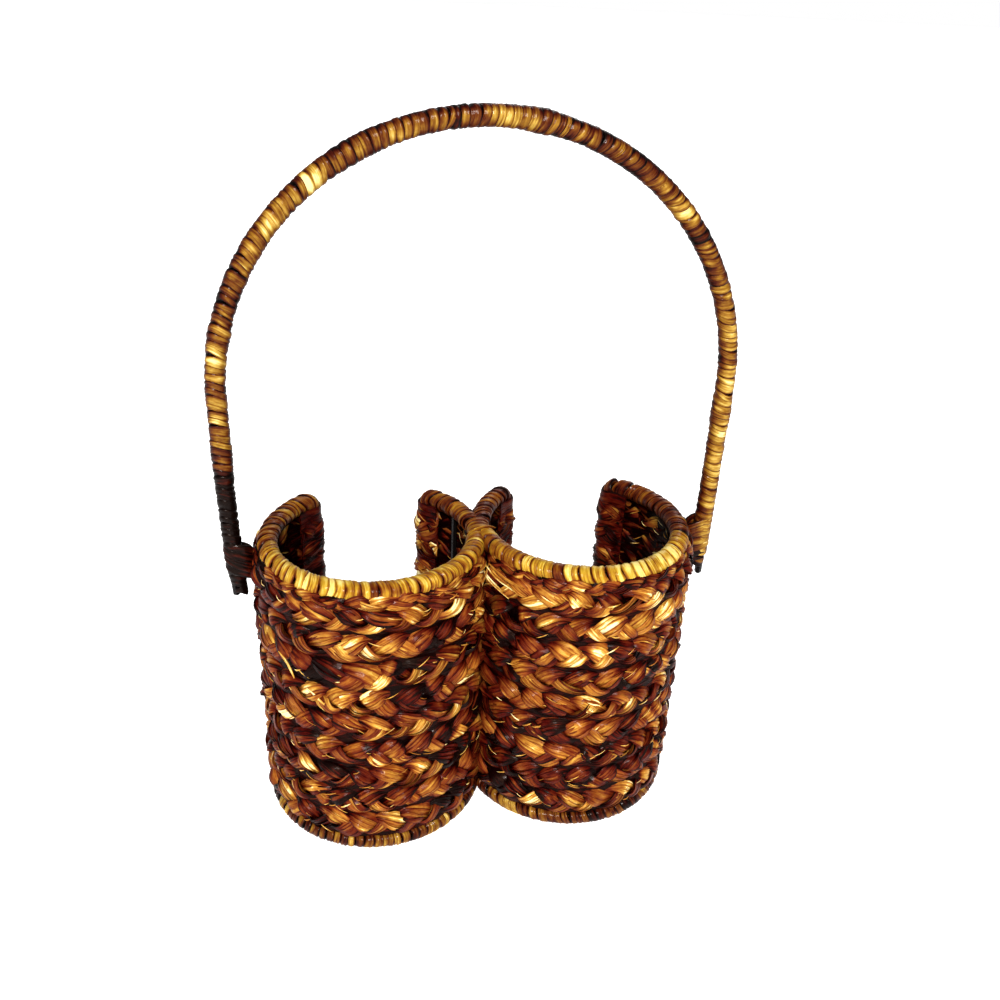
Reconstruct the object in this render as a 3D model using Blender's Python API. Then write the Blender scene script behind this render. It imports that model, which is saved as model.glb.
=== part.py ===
"""Two-bottle carrying basket of plaited leaf on a black wire frame.

Two C-plan holders stand side by side with their slots at the back (+Y).
Each has a wire frame (a top ring whose ends bend down as slot posts, upright
stakes, a base ring and a base cross), nine plaited courses laid round the
frame, leaf turns wrapped over the rings and a spiral plait as its bottom.
A wrapped two-wire arch is bound to the outer sides as a fixed handle.

Frame: origin at the centre of the two holders' axes on the table, +X from
the left holder to the right one, +Y towards the slots, +Z up. Metres.
"""
import math

import bmesh
import bpy
from mathutils import Vector

# Gap between solids that touch on the real object
CLEAR = 0.0003

# Wire frame
RING_RADIUS = 0.0500
RING_WIRE_D = 0.0040
RIM_HEIGHT = 0.1507
CORNER_RADIUS = 0.0050
STAKE_D = 0.0030
OUTER_STAKE_COUNT = 4
SLOT_OUTER_ANGLE = math.radians(35.0)
SLOT_INNER_ANGLE = math.radians(39.0)
CROSS_WIRE_D = 0.0030
CROSS_WIRE_LIFT = 0.0012

# Plaited wall
COURSE_COUNT = 9
PLAIT_THICKNESS = 0.0044
PLAIT_BULGE = 0.0012

# Leaf turns over the rings and on the joints between the holders
RIM_WRAP_RADIUS = 0.00475
JOINT_WRAP_WALL = 0.0012
JOINT_TURN_PITCH = 0.0040
RIB_DEPTH = 0.0004
BASE_WRAP_OFFSET = 0.0016
BASE_WRAP_HALF_WIDTH = 0.0046
BASE_WRAP_HEIGHT = 0.0083
BASE_JOINT_WALL = 0.0008

# Spiral bottom
MAT_STRIP_PITCH = 0.0140
MAT_STRIP_GAP = 0.0006
MAT_EYE_RADIUS = 0.0020
MAT_TAIL_WIDTH = 0.0030

# Handle, its rises measured up from the rim wire's centre
HANDLE_STAND_OFF = 0.00985
HANDLE_RISE = 0.1923
HANDLE_WIRE_D = 0.0037
HANDLE_WIRE_TAPER = 0.0008
HANDLE_WRAP_HALF_WIDTH = 0.0050
HANDLE_WRAP_HALF_DEPTH = 0.0042
HANDLE_TURN_PITCH = 0.0043
DRAW_IN_RISE = 0.0393
LEFT_DRAW_IN = 0.0028
RIGHT_DRAW_IN = 0.0006

# Side lashings and the bare wire ends below them
LEFT_LASHING_LENGTH = 0.0167
RIGHT_LASHING_LENGTH = 0.0237
SIDE_LASHING_PITCH = 0.0042
LEFT_BARE_END = 0.0110
RIGHT_INNER_BARE_END = 0.0040
RIGHT_OUTER_BARE_END = 0.0100

# Facets
CORNER_STEPS = 3
HOOK_STEPS = 3
RING_STEP = math.radians(12.0)
WALL_STEP = math.radians(15.0)
SPIRAL_STEP = math.radians(18.0)
ARCH_STEP = math.radians(6.0)
SMOOTH_ANGLE = math.radians(40.0)

# Sizes that follow from those above
RING_WIRE_RADIUS = RING_WIRE_D / 2
HALF_SPACING = RING_RADIUS + RING_WIRE_RADIUS + CLEAR / 2
HOOK_RADIUS = RING_WIRE_RADIUS + CLEAR + PLAIT_THICKNESS / 2
TRACK_RADIUS = RING_RADIUS + HOOK_RADIUS
WALL_RADIUS = TRACK_RADIUS + PLAIT_THICKNESS / 2
TRACK_FLAT = HALF_SPACING - (CLEAR + PLAIT_THICKNESS) / 2
FIRST_POST = math.pi / 2 + SLOT_OUTER_ANGLE
LAST_POST = 5 * math.pi / 2 - SLOT_INNER_ANGLE
COURSE_BOTTOM = BASE_WRAP_HEIGHT + CLEAR
COURSE_TOP = RIM_HEIGHT - CORNER_RADIUS - CLEAR
COURSE_PITCH = (COURSE_TOP - COURSE_BOTTOM + CLEAR) / COURSE_COUNT
BASE_RING_HEIGHT = BASE_WRAP_HEIGHT / 2
BASE_WRAP_CIRCLE = RING_RADIUS + BASE_WRAP_OFFSET
CROSS_WIRE_HEIGHT = CROSS_WIRE_LIFT + CROSS_WIRE_D / 2
MAT_BOTTOM = CROSS_WIRE_LIFT + CROSS_WIRE_D + CLEAR
MAT_RADIUS = (BASE_WRAP_CIRCLE - BASE_WRAP_HALF_WIDTH) * math.cos(RING_STEP / 2) - CLEAR
CORE_OFFSET = (HANDLE_WIRE_D + CLEAR) / 2
LASHING_TOP = RIM_HEIGHT
LASHING_SEAT = HALF_SPACING + WALL_RADIUS + CLEAR
HANDLE_HALF_SPAN = LASHING_SEAT + HANDLE_STAND_OFF
SPRING_HEIGHT = RIM_HEIGHT + HANDLE_RISE - HANDLE_HALF_SPAN
DRAW_IN_HEIGHT = RIM_HEIGHT + DRAW_IN_RISE
LEFT_LASHING_BOTTOM = LASHING_TOP - LEFT_LASHING_LENGTH
RIGHT_LASHING_BOTTOM = LASHING_TOP - RIGHT_LASHING_LENGTH
LEFT_FOOT = LEFT_LASHING_BOTTOM - LEFT_BARE_END
RIGHT_INNER_FOOT = RIGHT_LASHING_BOTTOM - RIGHT_INNER_BARE_END
RIGHT_OUTER_FOOT = RIGHT_LASHING_BOTTOM - RIGHT_OUTER_BARE_END


def joint_reach(circle, half_width):
    """Y from the joint's middle to where two wraps on that circle stand clear."""
    across = HALF_SPACING - half_width - CLEAR / 2
    return math.sqrt(circle ** 2 - across ** 2)


RIM_JOINT_REACH = joint_reach(RING_RADIUS, RIM_WRAP_RADIUS)
BASE_JOINT_REACH = joint_reach(BASE_WRAP_CIRCLE, BASE_WRAP_HALF_WIDTH)
RIM_JOINT_ANGLE = math.asin(RIM_JOINT_REACH / RING_RADIUS)
BASE_JOINT_ANGLE = math.asin(BASE_JOINT_REACH / RING_RADIUS)
INNER_STAKE_ANGLE = math.asin((BASE_JOINT_REACH + CLEAR + STAKE_D) / RING_RADIUS)

UP = Vector((0.0, 0.0, 1.0))
ALONG_X = Vector((1.0, 0.0, 0.0))
ALONG_Y = Vector((0.0, 1.0, 0.0))

# Colour, roughness and metallic value of each kind of piece
BLACK_WIRE = ((0.012, 0.011, 0.010, 1.0), 0.35, 0.6)
GOLD_LEAF = ((0.52, 0.31, 0.055, 1.0), 0.42, 0.0)
AMBER_LEAF = ((0.36, 0.17, 0.035, 1.0), 0.42, 0.0)
BROWN_LEAF = ((0.25, 0.10, 0.025, 1.0), 0.42, 0.0)
MAROON_LEAF = ((0.085, 0.018, 0.010, 1.0), 0.40, 0.0)


def clear_scene():
    for thing in list(bpy.data.objects):
        bpy.data.objects.remove(thing, do_unlink=True)


def finish(piece, look):
    """Give a piece its own material."""
    colour, roughness, metallic = look
    material = bpy.data.materials.new(piece.name + "_finish")
    material.use_nodes = True
    shader = material.node_tree.nodes["Principled BSDF"]
    shader.inputs["Base Color"].default_value = colour
    shader.inputs["Roughness"].default_value = roughness
    shader.inputs["Metallic"].default_value = metallic
    piece.data.materials.append(material)


def spaced(start, end, step):
    """Evenly spaced values from start to end, both included, about step apart."""
    count = max(1, round(abs(end - start) / step))
    return [start + (end - start) * index / count for index in range(count + 1)]


def oval(half_width, half_height):
    """Eight-sided outline with rounded ends, as (across, up) pairs."""
    cut_back = min(half_width, half_height) * (1 - math.tan(math.pi / 8))
    quarter = [(half_width, half_height - cut_back), (half_width - cut_back, half_height)]
    half = quarter + [(-a, b) for a, b in reversed(quarter)]
    return half + [(-a, -b) for a, b in half]


def ring_at(centre, across, up, outline):
    return [centre + across * a + up * b for a, b in outline]


def rib_places(total, pitch):
    """Valleys and crests along a wrap: (distance, True on a crest)."""
    turns = max(1, round(total / pitch))
    return [(total * index / (2 * turns), index % 2 == 1) for index in range(2 * turns + 1)]


def rib_size(size, crest):
    return size if crest else size - RIB_DEPTH


def wire(name, points, diameter, closed=False, taper=0.0):
    """A round wire along points, its ends eased over the length taper."""
    path = [Vector(point) for point in points]
    shares = [1.0] * len(path)
    if taper:
        start = path[0] + (path[1] - path[0]).normalized() * taper
        end = path[-1] + (path[-2] - path[-1]).normalized() * taper
        path = [path[0], start] + path[1:-1] + [end, path[-1]]
        end_share = 1.0 - taper / diameter
        shares = [end_share] + [1.0] * (len(path) - 2) + [end_share]
    curve = bpy.data.curves.new(name, "CURVE")
    curve.dimensions = "3D"
    curve.bevel_depth = diameter / 2
    curve.bevel_resolution = 1
    curve.use_fill_caps = not closed
    spline = curve.splines.new("POLY")
    spline.points.add(len(path) - 1)
    for knot, point, share in zip(spline.points, path, shares):
        knot.co = (point.x, point.y, point.z, 1.0)
        knot.radius = share
    spline.use_cyclic_u = closed
    piece = bpy.data.objects.new(name, curve)
    bpy.context.collection.objects.link(piece)
    finish(piece, BLACK_WIRE)
    return piece


def skin(mesh, rings):
    """Faces between each ring of points and the next; returns the corners."""
    corners = [[mesh.verts.new(point) for point in ring] for ring in rings]
    for first, second in zip(corners, corners[1:]):
        bridge(mesh, first, second)
    return corners


def bridge(mesh, first, second):
    for side in range(len(first)):
        after = (side + 1) % len(first)
        mesh.faces.new((first[side], first[after], second[after], second[side]))


def loft(name, rings, look, bore=None):
    """A solid skinned over rings of points, with an optional bore along it."""
    mesh = bmesh.new()
    outer = skin(mesh, rings)
    if bore:
        inner = skin(mesh, bore)
        bridge(mesh, outer[0], inner[0])
        bridge(mesh, outer[-1], inner[-1])
    else:
        mesh.faces.new(outer[0])
        mesh.faces.new(outer[-1])
    bmesh.ops.recalc_face_normals(mesh, faces=mesh.faces)
    data = bpy.data.meshes.new(name)
    mesh.to_mesh(data)
    mesh.free()
    data.shade_smooth()
    data.set_sharp_from_angle(angle=SMOOTH_ANGLE)
    piece = bpy.data.objects.new(name, data)
    bpy.context.collection.objects.link(piece)
    finish(piece, look)
    return piece


class Holder:
    """One holder; side is -1 for the left one and 1 for the right one.

    Its own plan starts at its axis with x towards the other holder and y
    towards the slot. Angles turn from x through the slot.
    """

    def __init__(self, name, side):
        self.name = name
        self.side = side

    def place(self, x, y, z):
        return Vector((self.side * (HALF_SPACING - x), y, z))

    def heading(self, x, y):
        return Vector((-self.side * x, y, 0.0))

    def on_circle(self, radius, angle, height):
        return self.place(radius * math.cos(angle), radius * math.sin(angle), height)

    def outward(self, angle):
        return self.heading(math.cos(angle), math.sin(angle))

    def forward(self, angle):
        return self.heading(-math.sin(angle), math.cos(angle))


def rim_places(post, joint):
    """Angle, height and tilt along the rim, up a post's bend and on to the joint."""
    sense = math.copysign(1.0, joint - post)
    places = []
    for turn in spaced(0.0, math.pi / 2, math.pi / 2 / CORNER_STEPS)[:-1]:
        along = CORNER_RADIUS * (1 - math.cos(turn))
        height = RIM_HEIGHT - CORNER_RADIUS * (1 - math.sin(turn))
        places.append((post + sense * along / RING_RADIUS, height, math.pi / 2 - turn))
    level = post + sense * CORNER_RADIUS / RING_RADIUS
    return places + [(angle, RIM_HEIGHT, 0.0) for angle in spaced(level, joint, RING_STEP)]


def joint_angles(reach_angle):
    return spaced(-reach_angle, reach_angle, RING_STEP)


def stake_angles():
    """The outer stakes, from the handle side round the front, then the back one."""
    last = 2 * math.pi - INNER_STAKE_ANGLE
    step = (last - math.pi) / (OUTER_STAKE_COUNT - 1)
    outer = [math.pi + index * step for index in range(OUTER_STAKE_COUNT)]
    return outer + [INNER_STAKE_ANGLE]


def top_ring(holder):
    """Ring and slot posts, bent from one wire."""
    foot = BASE_RING_HEIGHT + RING_WIRE_RADIUS + CLEAR
    front = rim_places(FIRST_POST, 2 * math.pi - RIM_JOINT_ANGLE)
    back = rim_places(LAST_POST, 2 * math.pi + RIM_JOINT_ANGLE)
    line = [(FIRST_POST, foot)] + [(angle, height) for angle, height, tilt in front]
    line += [(angle, RIM_HEIGHT) for angle in joint_angles(RIM_JOINT_ANGLE)[1:-1]]
    line += [(angle, height) for angle, height, tilt in reversed(back)]
    line.append((LAST_POST, foot))
    points = [holder.on_circle(RING_RADIUS, angle, height) for angle, height in line]
    return wire(holder.name + "_top_ring", points, RING_WIRE_D)


def base_ring(holder):
    around = spaced(BASE_JOINT_ANGLE, 2 * math.pi - BASE_JOINT_ANGLE, RING_STEP)
    angles = around + joint_angles(BASE_JOINT_ANGLE)[1:-1]
    points = [holder.on_circle(RING_RADIUS, angle, BASE_RING_HEIGHT) for angle in angles]
    return wire(holder.name + "_base_ring", points, RING_WIRE_D, closed=True)


def stakes(holder):
    low = BASE_RING_HEIGHT + RING_WIRE_RADIUS + CLEAR
    high = RIM_HEIGHT - RING_WIRE_RADIUS - CLEAR
    for number, angle in enumerate(stake_angles(), start=1):
        ends = [holder.on_circle(RING_RADIUS, angle, height) for height in (low, high)]
        wire("%s_stake_%d" % (holder.name, number), ends, STAKE_D)


def cross_wires(holder):
    """One wire right across the base ring and two half wires against it."""
    reach = RING_RADIUS - RING_WIRE_RADIUS - CLEAR
    joint_reach_x = reach - BASE_JOINT_WALL
    near = CROSS_WIRE_D / 2 + CLEAR
    spans = {"_cross_wire": ((-reach, 0.0), (joint_reach_x, 0.0)),
             "_cross_wire_front": ((0.0, -reach), (0.0, -near)),
             "_cross_wire_back": ((0.0, near), (0.0, reach))}
    for suffix, ends in spans.items():
        points = [holder.place(x, y, CROSS_WIRE_HEIGHT) for x, y in ends]
        wire(holder.name + suffix, points, CROSS_WIRE_D)


def hook_point(post_angle, turn):
    x = RING_RADIUS * math.cos(post_angle) + HOOK_RADIUS * math.cos(turn)
    y = RING_RADIUS * math.sin(post_angle) + HOOK_RADIUS * math.sin(turn)
    return (x, y, turn, 1.0)


def track_point(angle, facing, mitre):
    return (TRACK_RADIUS * math.cos(angle), TRACK_RADIUS * math.sin(angle), facing, mitre)


def wall_track():
    """Plan line of a course: (x, y, outward angle, mitre factor).

    It hooks round the first post, runs round the front, flattens against the
    other holder and hooks round the last post.
    """
    flat = math.acos(TRACK_FLAT / TRACK_RADIUS)
    mitre = 1.0 / math.cos(flat / 2)
    hook = [math.pi * index / HOOK_STEPS for index in range(1, HOOK_STEPS + 1)]
    track = [hook_point(FIRST_POST, FIRST_POST - turn) for turn in reversed(hook)]
    for angle in spaced(FIRST_POST, 2 * math.pi - flat, WALL_STEP)[:-1]:
        track.append(track_point(angle, angle, 1.0))
    track.append(track_point(-flat, -flat / 2, mitre))
    track.append(track_point(flat, flat / 2, mitre))
    for angle in spaced(2 * math.pi + flat, LAST_POST, WALL_STEP)[1:]:
        track.append(track_point(angle, angle, 1.0))
    track += [hook_point(LAST_POST, LAST_POST + turn) for turn in hook]
    return track


def courses(holder, looks):
    """Plaited courses, numbered from the base up."""
    inner = -PLAIT_THICKNESS / 2
    outer = PLAIT_THICKNESS / 2
    shoulder = outer - PLAIT_BULGE
    for index in range(COURSE_COUNT):
        low = COURSE_BOTTOM + index * COURSE_PITCH
        high = low + COURSE_PITCH - CLEAR
        profile = [(inner, low), (shoulder, low), (outer, (low + high) / 2),
                   (shoulder, high), (inner, high)]
        rings = []
        for x, y, facing, mitre in wall_track():
            across = holder.outward(facing) * mitre
            rings.append(ring_at(holder.place(x, y, 0.0), across, UP, profile))
        name = "%s_course_%d" % (holder.name, index + 1)
        loft(name, rings, looks[index % len(looks)])


def rim_tube(holder, post, joint, radius):
    """Rings of a tube along the rim, square to Y where it meets the joint."""
    sense = math.copysign(1.0, joint - post)
    outline = oval(radius, radius)
    rings = []
    for angle, height, tilt in rim_places(post, joint):
        up = UP * math.cos(tilt) - holder.forward(angle) * sense * math.sin(tilt)
        centre = holder.on_circle(RING_RADIUS, angle, height)
        rings.append(ring_at(centre, holder.outward(angle), up, outline))
    centre = holder.on_circle(RING_RADIUS, joint, RIM_HEIGHT)
    rings[-1] = ring_at(centre, holder.heading(1.0, 0.0), UP, outline)
    return rings


def rim_wraps(holder, cutter):
    """Leaf turns over the rim from each slot post to the joint."""
    for suffix, post, joint in (("_rim_wrap_front", FIRST_POST, 2 * math.pi - RIM_JOINT_ANGLE),
                                ("_rim_wrap_back", LAST_POST, 2 * math.pi + RIM_JOINT_ANGLE)):
        outer = rim_tube(holder, post, joint, RIM_WRAP_RADIUS)
        bore = rim_tube(holder, post, joint, RING_WIRE_RADIUS + CLEAR)
        piece = loft(holder.name + suffix, outer, GOLD_LEAF, bore=bore)
        cut(piece, cutter)


def base_wrap(holder, cutter):
    """Leaf turns over the base ring, flat underneath, open at the joint."""
    wire_angles = spaced(BASE_JOINT_ANGLE, 2 * math.pi - BASE_JOINT_ANGLE, RING_STEP)
    outline = oval(BASE_WRAP_HALF_WIDTH, BASE_WRAP_HEIGHT / 2)
    bore_outline = oval(RING_WIRE_RADIUS + CLEAR, RING_WIRE_RADIUS + CLEAR)
    outer = []
    bore = []
    for angle in wire_angles:
        outer.append(ring_at(holder.on_circle(BASE_WRAP_CIRCLE, angle, BASE_RING_HEIGHT),
                             holder.outward(angle), UP, outline))
        bore.append(ring_at(holder.on_circle(RING_RADIUS, angle, BASE_RING_HEIGHT),
                            holder.outward(angle), UP, bore_outline))
    end_angle = math.asin(BASE_JOINT_REACH / BASE_WRAP_CIRCLE)
    inward = holder.heading(1.0, 0.0)
    for index, sign in ((0, 1), (-1, -1)):
        outer[index] = ring_at(
            holder.on_circle(BASE_WRAP_CIRCLE, sign * end_angle, BASE_RING_HEIGHT),
            inward, UP, outline)
        bore[index] = ring_at(
            holder.on_circle(RING_RADIUS, sign * BASE_JOINT_ANGLE, BASE_RING_HEIGHT),
            inward, UP, bore_outline)
    piece = loft(holder.name + "_base_wrap", outer, AMBER_LEAF, bore=bore)
    cut(piece, cutter)


def wire_offset(y):
    """X of a ring wire's centre from the joint's middle plane."""
    return HALF_SPACING - math.sqrt(RING_RADIUS ** 2 - y ** 2)


def joint_wrap(name, reach, height, widths, half_heights, look):
    """Leaf turns round both ring wires where the holders touch.

    widths and half_heights hold the value at the middle and at the ends.
    """
    end = reach - CLEAR
    joint_angle = math.asin(reach / RING_RADIUS)
    outer = []
    for distance, crest in rib_places(2 * end, JOINT_TURN_PITCH):
        y = distance - end
        share = abs(y) / end
        half_width = wire_offset(y) + widths[0] * (1 - share) + widths[1] * share
        half_height = half_heights[0] * (1 - share) + half_heights[1] * share
        outline = oval(rib_size(half_width, crest), rib_size(half_height, crest))
        outer.append(ring_at(ALONG_Y * y + UP * height, ALONG_X, UP, outline))
    bore = []
    for angle in joint_angles(joint_angle):
        y = max(-end, min(end, RING_RADIUS * math.sin(angle)))
        half_width = wire_offset(y) + RING_WIRE_RADIUS + CLEAR
        outline = oval(half_width, RING_WIRE_RADIUS + CLEAR)
        bore.append(ring_at(ALONG_Y * y + UP * height, ALONG_X, UP, outline))
    return loft(name, outer, look, bore=bore)


def joint_wraps():
    middle = RING_WIRE_RADIUS + JOINT_WRAP_WALL
    joint_wrap("rim_joint_wrap", RIM_JOINT_REACH, RIM_HEIGHT,
               (middle, RIM_WRAP_RADIUS), (middle, RIM_WRAP_RADIUS), AMBER_LEAF)
    side = RING_WIRE_RADIUS + BASE_JOINT_WALL
    half_height = BASE_WRAP_HEIGHT / 2 - CLEAR
    joint_wrap("base_joint_wrap", BASE_JOINT_REACH, BASE_RING_HEIGHT,
               (side, side), (half_height, half_height), AMBER_LEAF)


def base_mat(holder):
    """Spiral plait: one unbroken strip, narrow at the eye and at the base wrap."""
    width = MAT_STRIP_PITCH - MAT_STRIP_GAP
    growth = MAT_STRIP_PITCH / (2 * math.pi)
    first = (MAT_EYE_RADIUS + MAT_TAIL_WIDTH - width) / growth
    last = (MAT_RADIUS - MAT_TAIL_WIDTH) / growth
    rings = []
    edges = []
    for turn in spaced(first, last, SPIRAL_STEP):
        near = max(growth * turn, MAT_EYE_RADIUS)
        far = min(growth * turn + width, MAT_RADIUS)
        edges.append((turn, near, far))
        rings.append([holder.on_circle(radius, turn, height) for radius, height in
                      ((near, MAT_BOTTOM), (far, MAT_BOTTOM),
                       (far, BASE_WRAP_HEIGHT), (near, BASE_WRAP_HEIGHT))])
    loft(holder.name + "_base_mat", rings, BROWN_LEAF)
    report_mat_gap(holder, edges)


def report_mat_gap(holder, edges):
    """Least gap between a turn of the spiral and the next, on their points."""
    steps = round(2 * math.pi / (edges[1][0] - edges[0][0]))
    gaps = [outer[1] - inner[2] for inner, outer in zip(edges, edges[steps:])]
    least = min(gaps) * math.cos(SPIRAL_STEP / 2)
    print("%s_base_mat least gap between turns: %.2f mm" % (holder.name, least * 1000))


def cutting_rod(mesh, start, end, diameter):
    """A six-sided rod whose flats clear a wire of that diameter."""
    sides = 6
    axis = end - start
    radius = (diameter / 2 + CLEAR) / math.cos(math.pi / sides)
    turn = axis.to_track_quat("Z", "Y").to_matrix().to_4x4()
    turn.translation = (start + end) / 2
    bmesh.ops.create_cone(mesh, cap_ends=True, segments=sides, radius1=radius,
                          radius2=radius, depth=axis.length, matrix=turn)


def wire_cutter(holder):
    """Rods that open the wraps where stakes, posts and cross wires meet a ring."""
    mesh = bmesh.new()
    over = RIM_WRAP_RADIUS
    uprights = [(angle, STAKE_D) for angle in stake_angles()]
    posts = [(angle, RING_WIRE_D) for angle in (FIRST_POST, LAST_POST)]
    for angle, diameter in uprights + posts:
        cutting_rod(mesh, holder.on_circle(RING_RADIUS, angle, BASE_RING_HEIGHT),
                    holder.on_circle(RING_RADIUS, angle, BASE_WRAP_HEIGHT + over), diameter)
    for angle, diameter in uprights:
        cutting_rod(mesh, holder.on_circle(RING_RADIUS, angle, COURSE_TOP - over),
                    holder.on_circle(RING_RADIUS, angle, RIM_HEIGHT), diameter)
    for quarter in (1, 2, 3):
        angle = quarter * math.pi / 2
        cutting_rod(mesh, holder.on_circle(RING_RADIUS - over * 2, angle, CROSS_WIRE_HEIGHT),
                    holder.on_circle(RING_RADIUS, angle, CROSS_WIRE_HEIGHT), CROSS_WIRE_D)
    data = bpy.data.meshes.new(holder.name + "_wire_cutter")
    mesh.to_mesh(data)
    mesh.free()
    cutter = bpy.data.objects.new(data.name, data)
    cutter.hide_render = True
    cutter.display_type = "WIRE"
    bpy.context.collection.objects.link(cutter)
    return cutter


def cut(piece, cutter):
    modifier = piece.modifiers.new("wire_holes", "BOOLEAN")
    modifier.operation = "DIFFERENCE"
    modifier.solver = "EXACT"
    modifier.object = cutter


def leg_point(side, height):
    """The handle's line in a leg, which leans in towards the holder lower down."""
    foot, amount = (LEFT_FOOT, LEFT_DRAW_IN) if side < 0 else (RIGHT_INNER_FOOT, RIGHT_DRAW_IN)
    lean = max(0.0, DRAW_IN_HEIGHT - height) / (DRAW_IN_HEIGHT - foot)
    return Vector((side * (HANDLE_HALF_SPAN - amount * lean ** 2), 0.0, height))


def arch_points(step):
    """Arch from its left spring to its right one."""
    turns = spaced(math.pi, 0.0, step)
    centre = UP * SPRING_HEIGHT
    return [centre + ALONG_X * HANDLE_HALF_SPAN * math.cos(turn)
            + UP * HANDLE_HALF_SPAN * math.sin(turn) for turn in turns]


def with_outward(points):
    """Each point of the handle's line with its outward direction."""
    line = []
    for index, point in enumerate(points):
        before = points[max(0, index - 1)]
        after = points[min(len(points) - 1, index + 1)]
        line.append((point, (after - before).normalized().cross(ALONG_Y)))
    return line


def leg_heights(lashing_bottom, foot):
    wrap_start = LASHING_TOP + CLEAR
    mid = (wrap_start + DRAW_IN_HEIGHT) / 2
    return [foot, lashing_bottom, LASHING_TOP, wrap_start, mid, DRAW_IN_HEIGHT]


def handle_line(right_foot):
    left = [leg_point(-1, height) for height in leg_heights(LEFT_LASHING_BOTTOM, LEFT_FOOT)]
    right = [leg_point(1, height) for height in leg_heights(RIGHT_LASHING_BOTTOM, right_foot)]
    return with_outward(left + arch_points(ARCH_STEP) + right[::-1])


def handle_wires():
    """Two wires side by side; the right end of the outer one reaches lower."""
    for name, sign, right_foot in (("handle_outer_wire", 1, RIGHT_OUTER_FOOT),
                                   ("handle_inner_wire", -1, RIGHT_INNER_FOOT)):
        points = [point + outward * sign * CORE_OFFSET
                  for point, outward in handle_line(right_foot)]
        wire(name, points, HANDLE_WIRE_D, taper=HANDLE_WIRE_TAPER)


def core_bore_outline():
    """Rounded slot that takes both handle wires."""
    return oval(CORE_OFFSET + HANDLE_WIRE_D / 2 + CLEAR, HANDLE_WIRE_D / 2 + CLEAR)


def handle_wrap():
    """Leaf turns over both handle wires between the side lashings."""
    line = handle_line(RIGHT_INNER_FOOT)
    bore_line = [place for place in line if place[0].z > LASHING_TOP + CLEAR / 2]
    bore = [ring_at(point, outward, ALONG_Y, core_bore_outline())
            for point, outward in bore_line]
    heights = spaced(LASHING_TOP + CLEAR, SPRING_HEIGHT, HANDLE_TURN_PITCH)
    left = [leg_point(-1, height) for height in heights[:-1]]
    right = [leg_point(1, height) for height in heights[:-1]]
    fine = left + arch_points(ARCH_STEP / 4) + right[::-1]
    lengths = [0.0]
    for first, second in zip(fine, fine[1:]):
        lengths.append(lengths[-1] + (second - first).length)
    outer = []
    index = 1
    for distance, crest in rib_places(lengths[-1], HANDLE_TURN_PITCH):
        while index < len(fine) - 1 and lengths[index] < distance:
            index += 1
        run = fine[index] - fine[index - 1]
        centre = fine[index - 1] + run.normalized() * (distance - lengths[index - 1])
        outline = oval(rib_size(HANDLE_WRAP_HALF_WIDTH, crest),
                       rib_size(HANDLE_WRAP_HALF_DEPTH, crest))
        outer.append(ring_at(centre, run.normalized().cross(ALONG_Y), ALONG_Y, outline))
    loft("handle_wrap", outer, AMBER_LEAF, bore=bore)


def lashing_outline(near, far, half_depth):
    """Outline round a leg, with its flat end at near against the wall."""
    corner = half_depth * (2 - math.sqrt(2))
    seat_share = 0.7
    side = [(far, half_depth - corner), (far - corner, half_depth),
            (near + corner / 2, half_depth), (near, half_depth * seat_share)]
    return side + [(a, -b) for a, b in reversed(side)]


def side_lashing(name, side, bottom):
    """Leaf turns that bind a handle leg to the wall below the rim."""
    outward = ALONG_X * side
    outer = []
    for distance, crest in rib_places(LASHING_TOP - bottom, SIDE_LASHING_PITCH):
        centre = leg_point(side, bottom + distance)
        near = LASHING_SEAT - abs(centre.x)
        outline = lashing_outline(near, rib_size(HANDLE_WRAP_HALF_WIDTH, crest),
                                  rib_size(HANDLE_WRAP_HALF_DEPTH, crest))
        outer.append(ring_at(centre, outward, ALONG_Y, outline))
    bore = [ring_at(leg_point(side, height), outward, ALONG_Y, core_bore_outline())
            for height in (bottom, LASHING_TOP)]
    loft(name, outer, MAROON_LEAF, bore=bore)


def build():
    clear_scene()
    wall_looks = (MAROON_LEAF, BROWN_LEAF, AMBER_LEAF, BROWN_LEAF)
    for holder in (Holder("left", -1), Holder("right", 1)):
        cutter = wire_cutter(holder)
        top_ring(holder)
        base_ring(holder)
        stakes(holder)
        cross_wires(holder)
        courses(holder, wall_looks)
        rim_wraps(holder, cutter)
        base_wrap(holder, cutter)
        base_mat(holder)
    joint_wraps()
    handle_wires()
    handle_wrap()
    side_lashing("left_side_lashing", -1, LEFT_LASHING_BOTTOM)
    side_lashing("right_side_lashing", 1, RIGHT_LASHING_BOTTOM)


build()
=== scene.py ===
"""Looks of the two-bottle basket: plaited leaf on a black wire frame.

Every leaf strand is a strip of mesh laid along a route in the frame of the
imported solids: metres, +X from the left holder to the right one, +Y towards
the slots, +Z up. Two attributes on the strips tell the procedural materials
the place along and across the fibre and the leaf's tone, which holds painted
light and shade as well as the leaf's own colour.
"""
import math

import bpy
import numpy as np
from mathutils import Matrix, Vector


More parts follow.
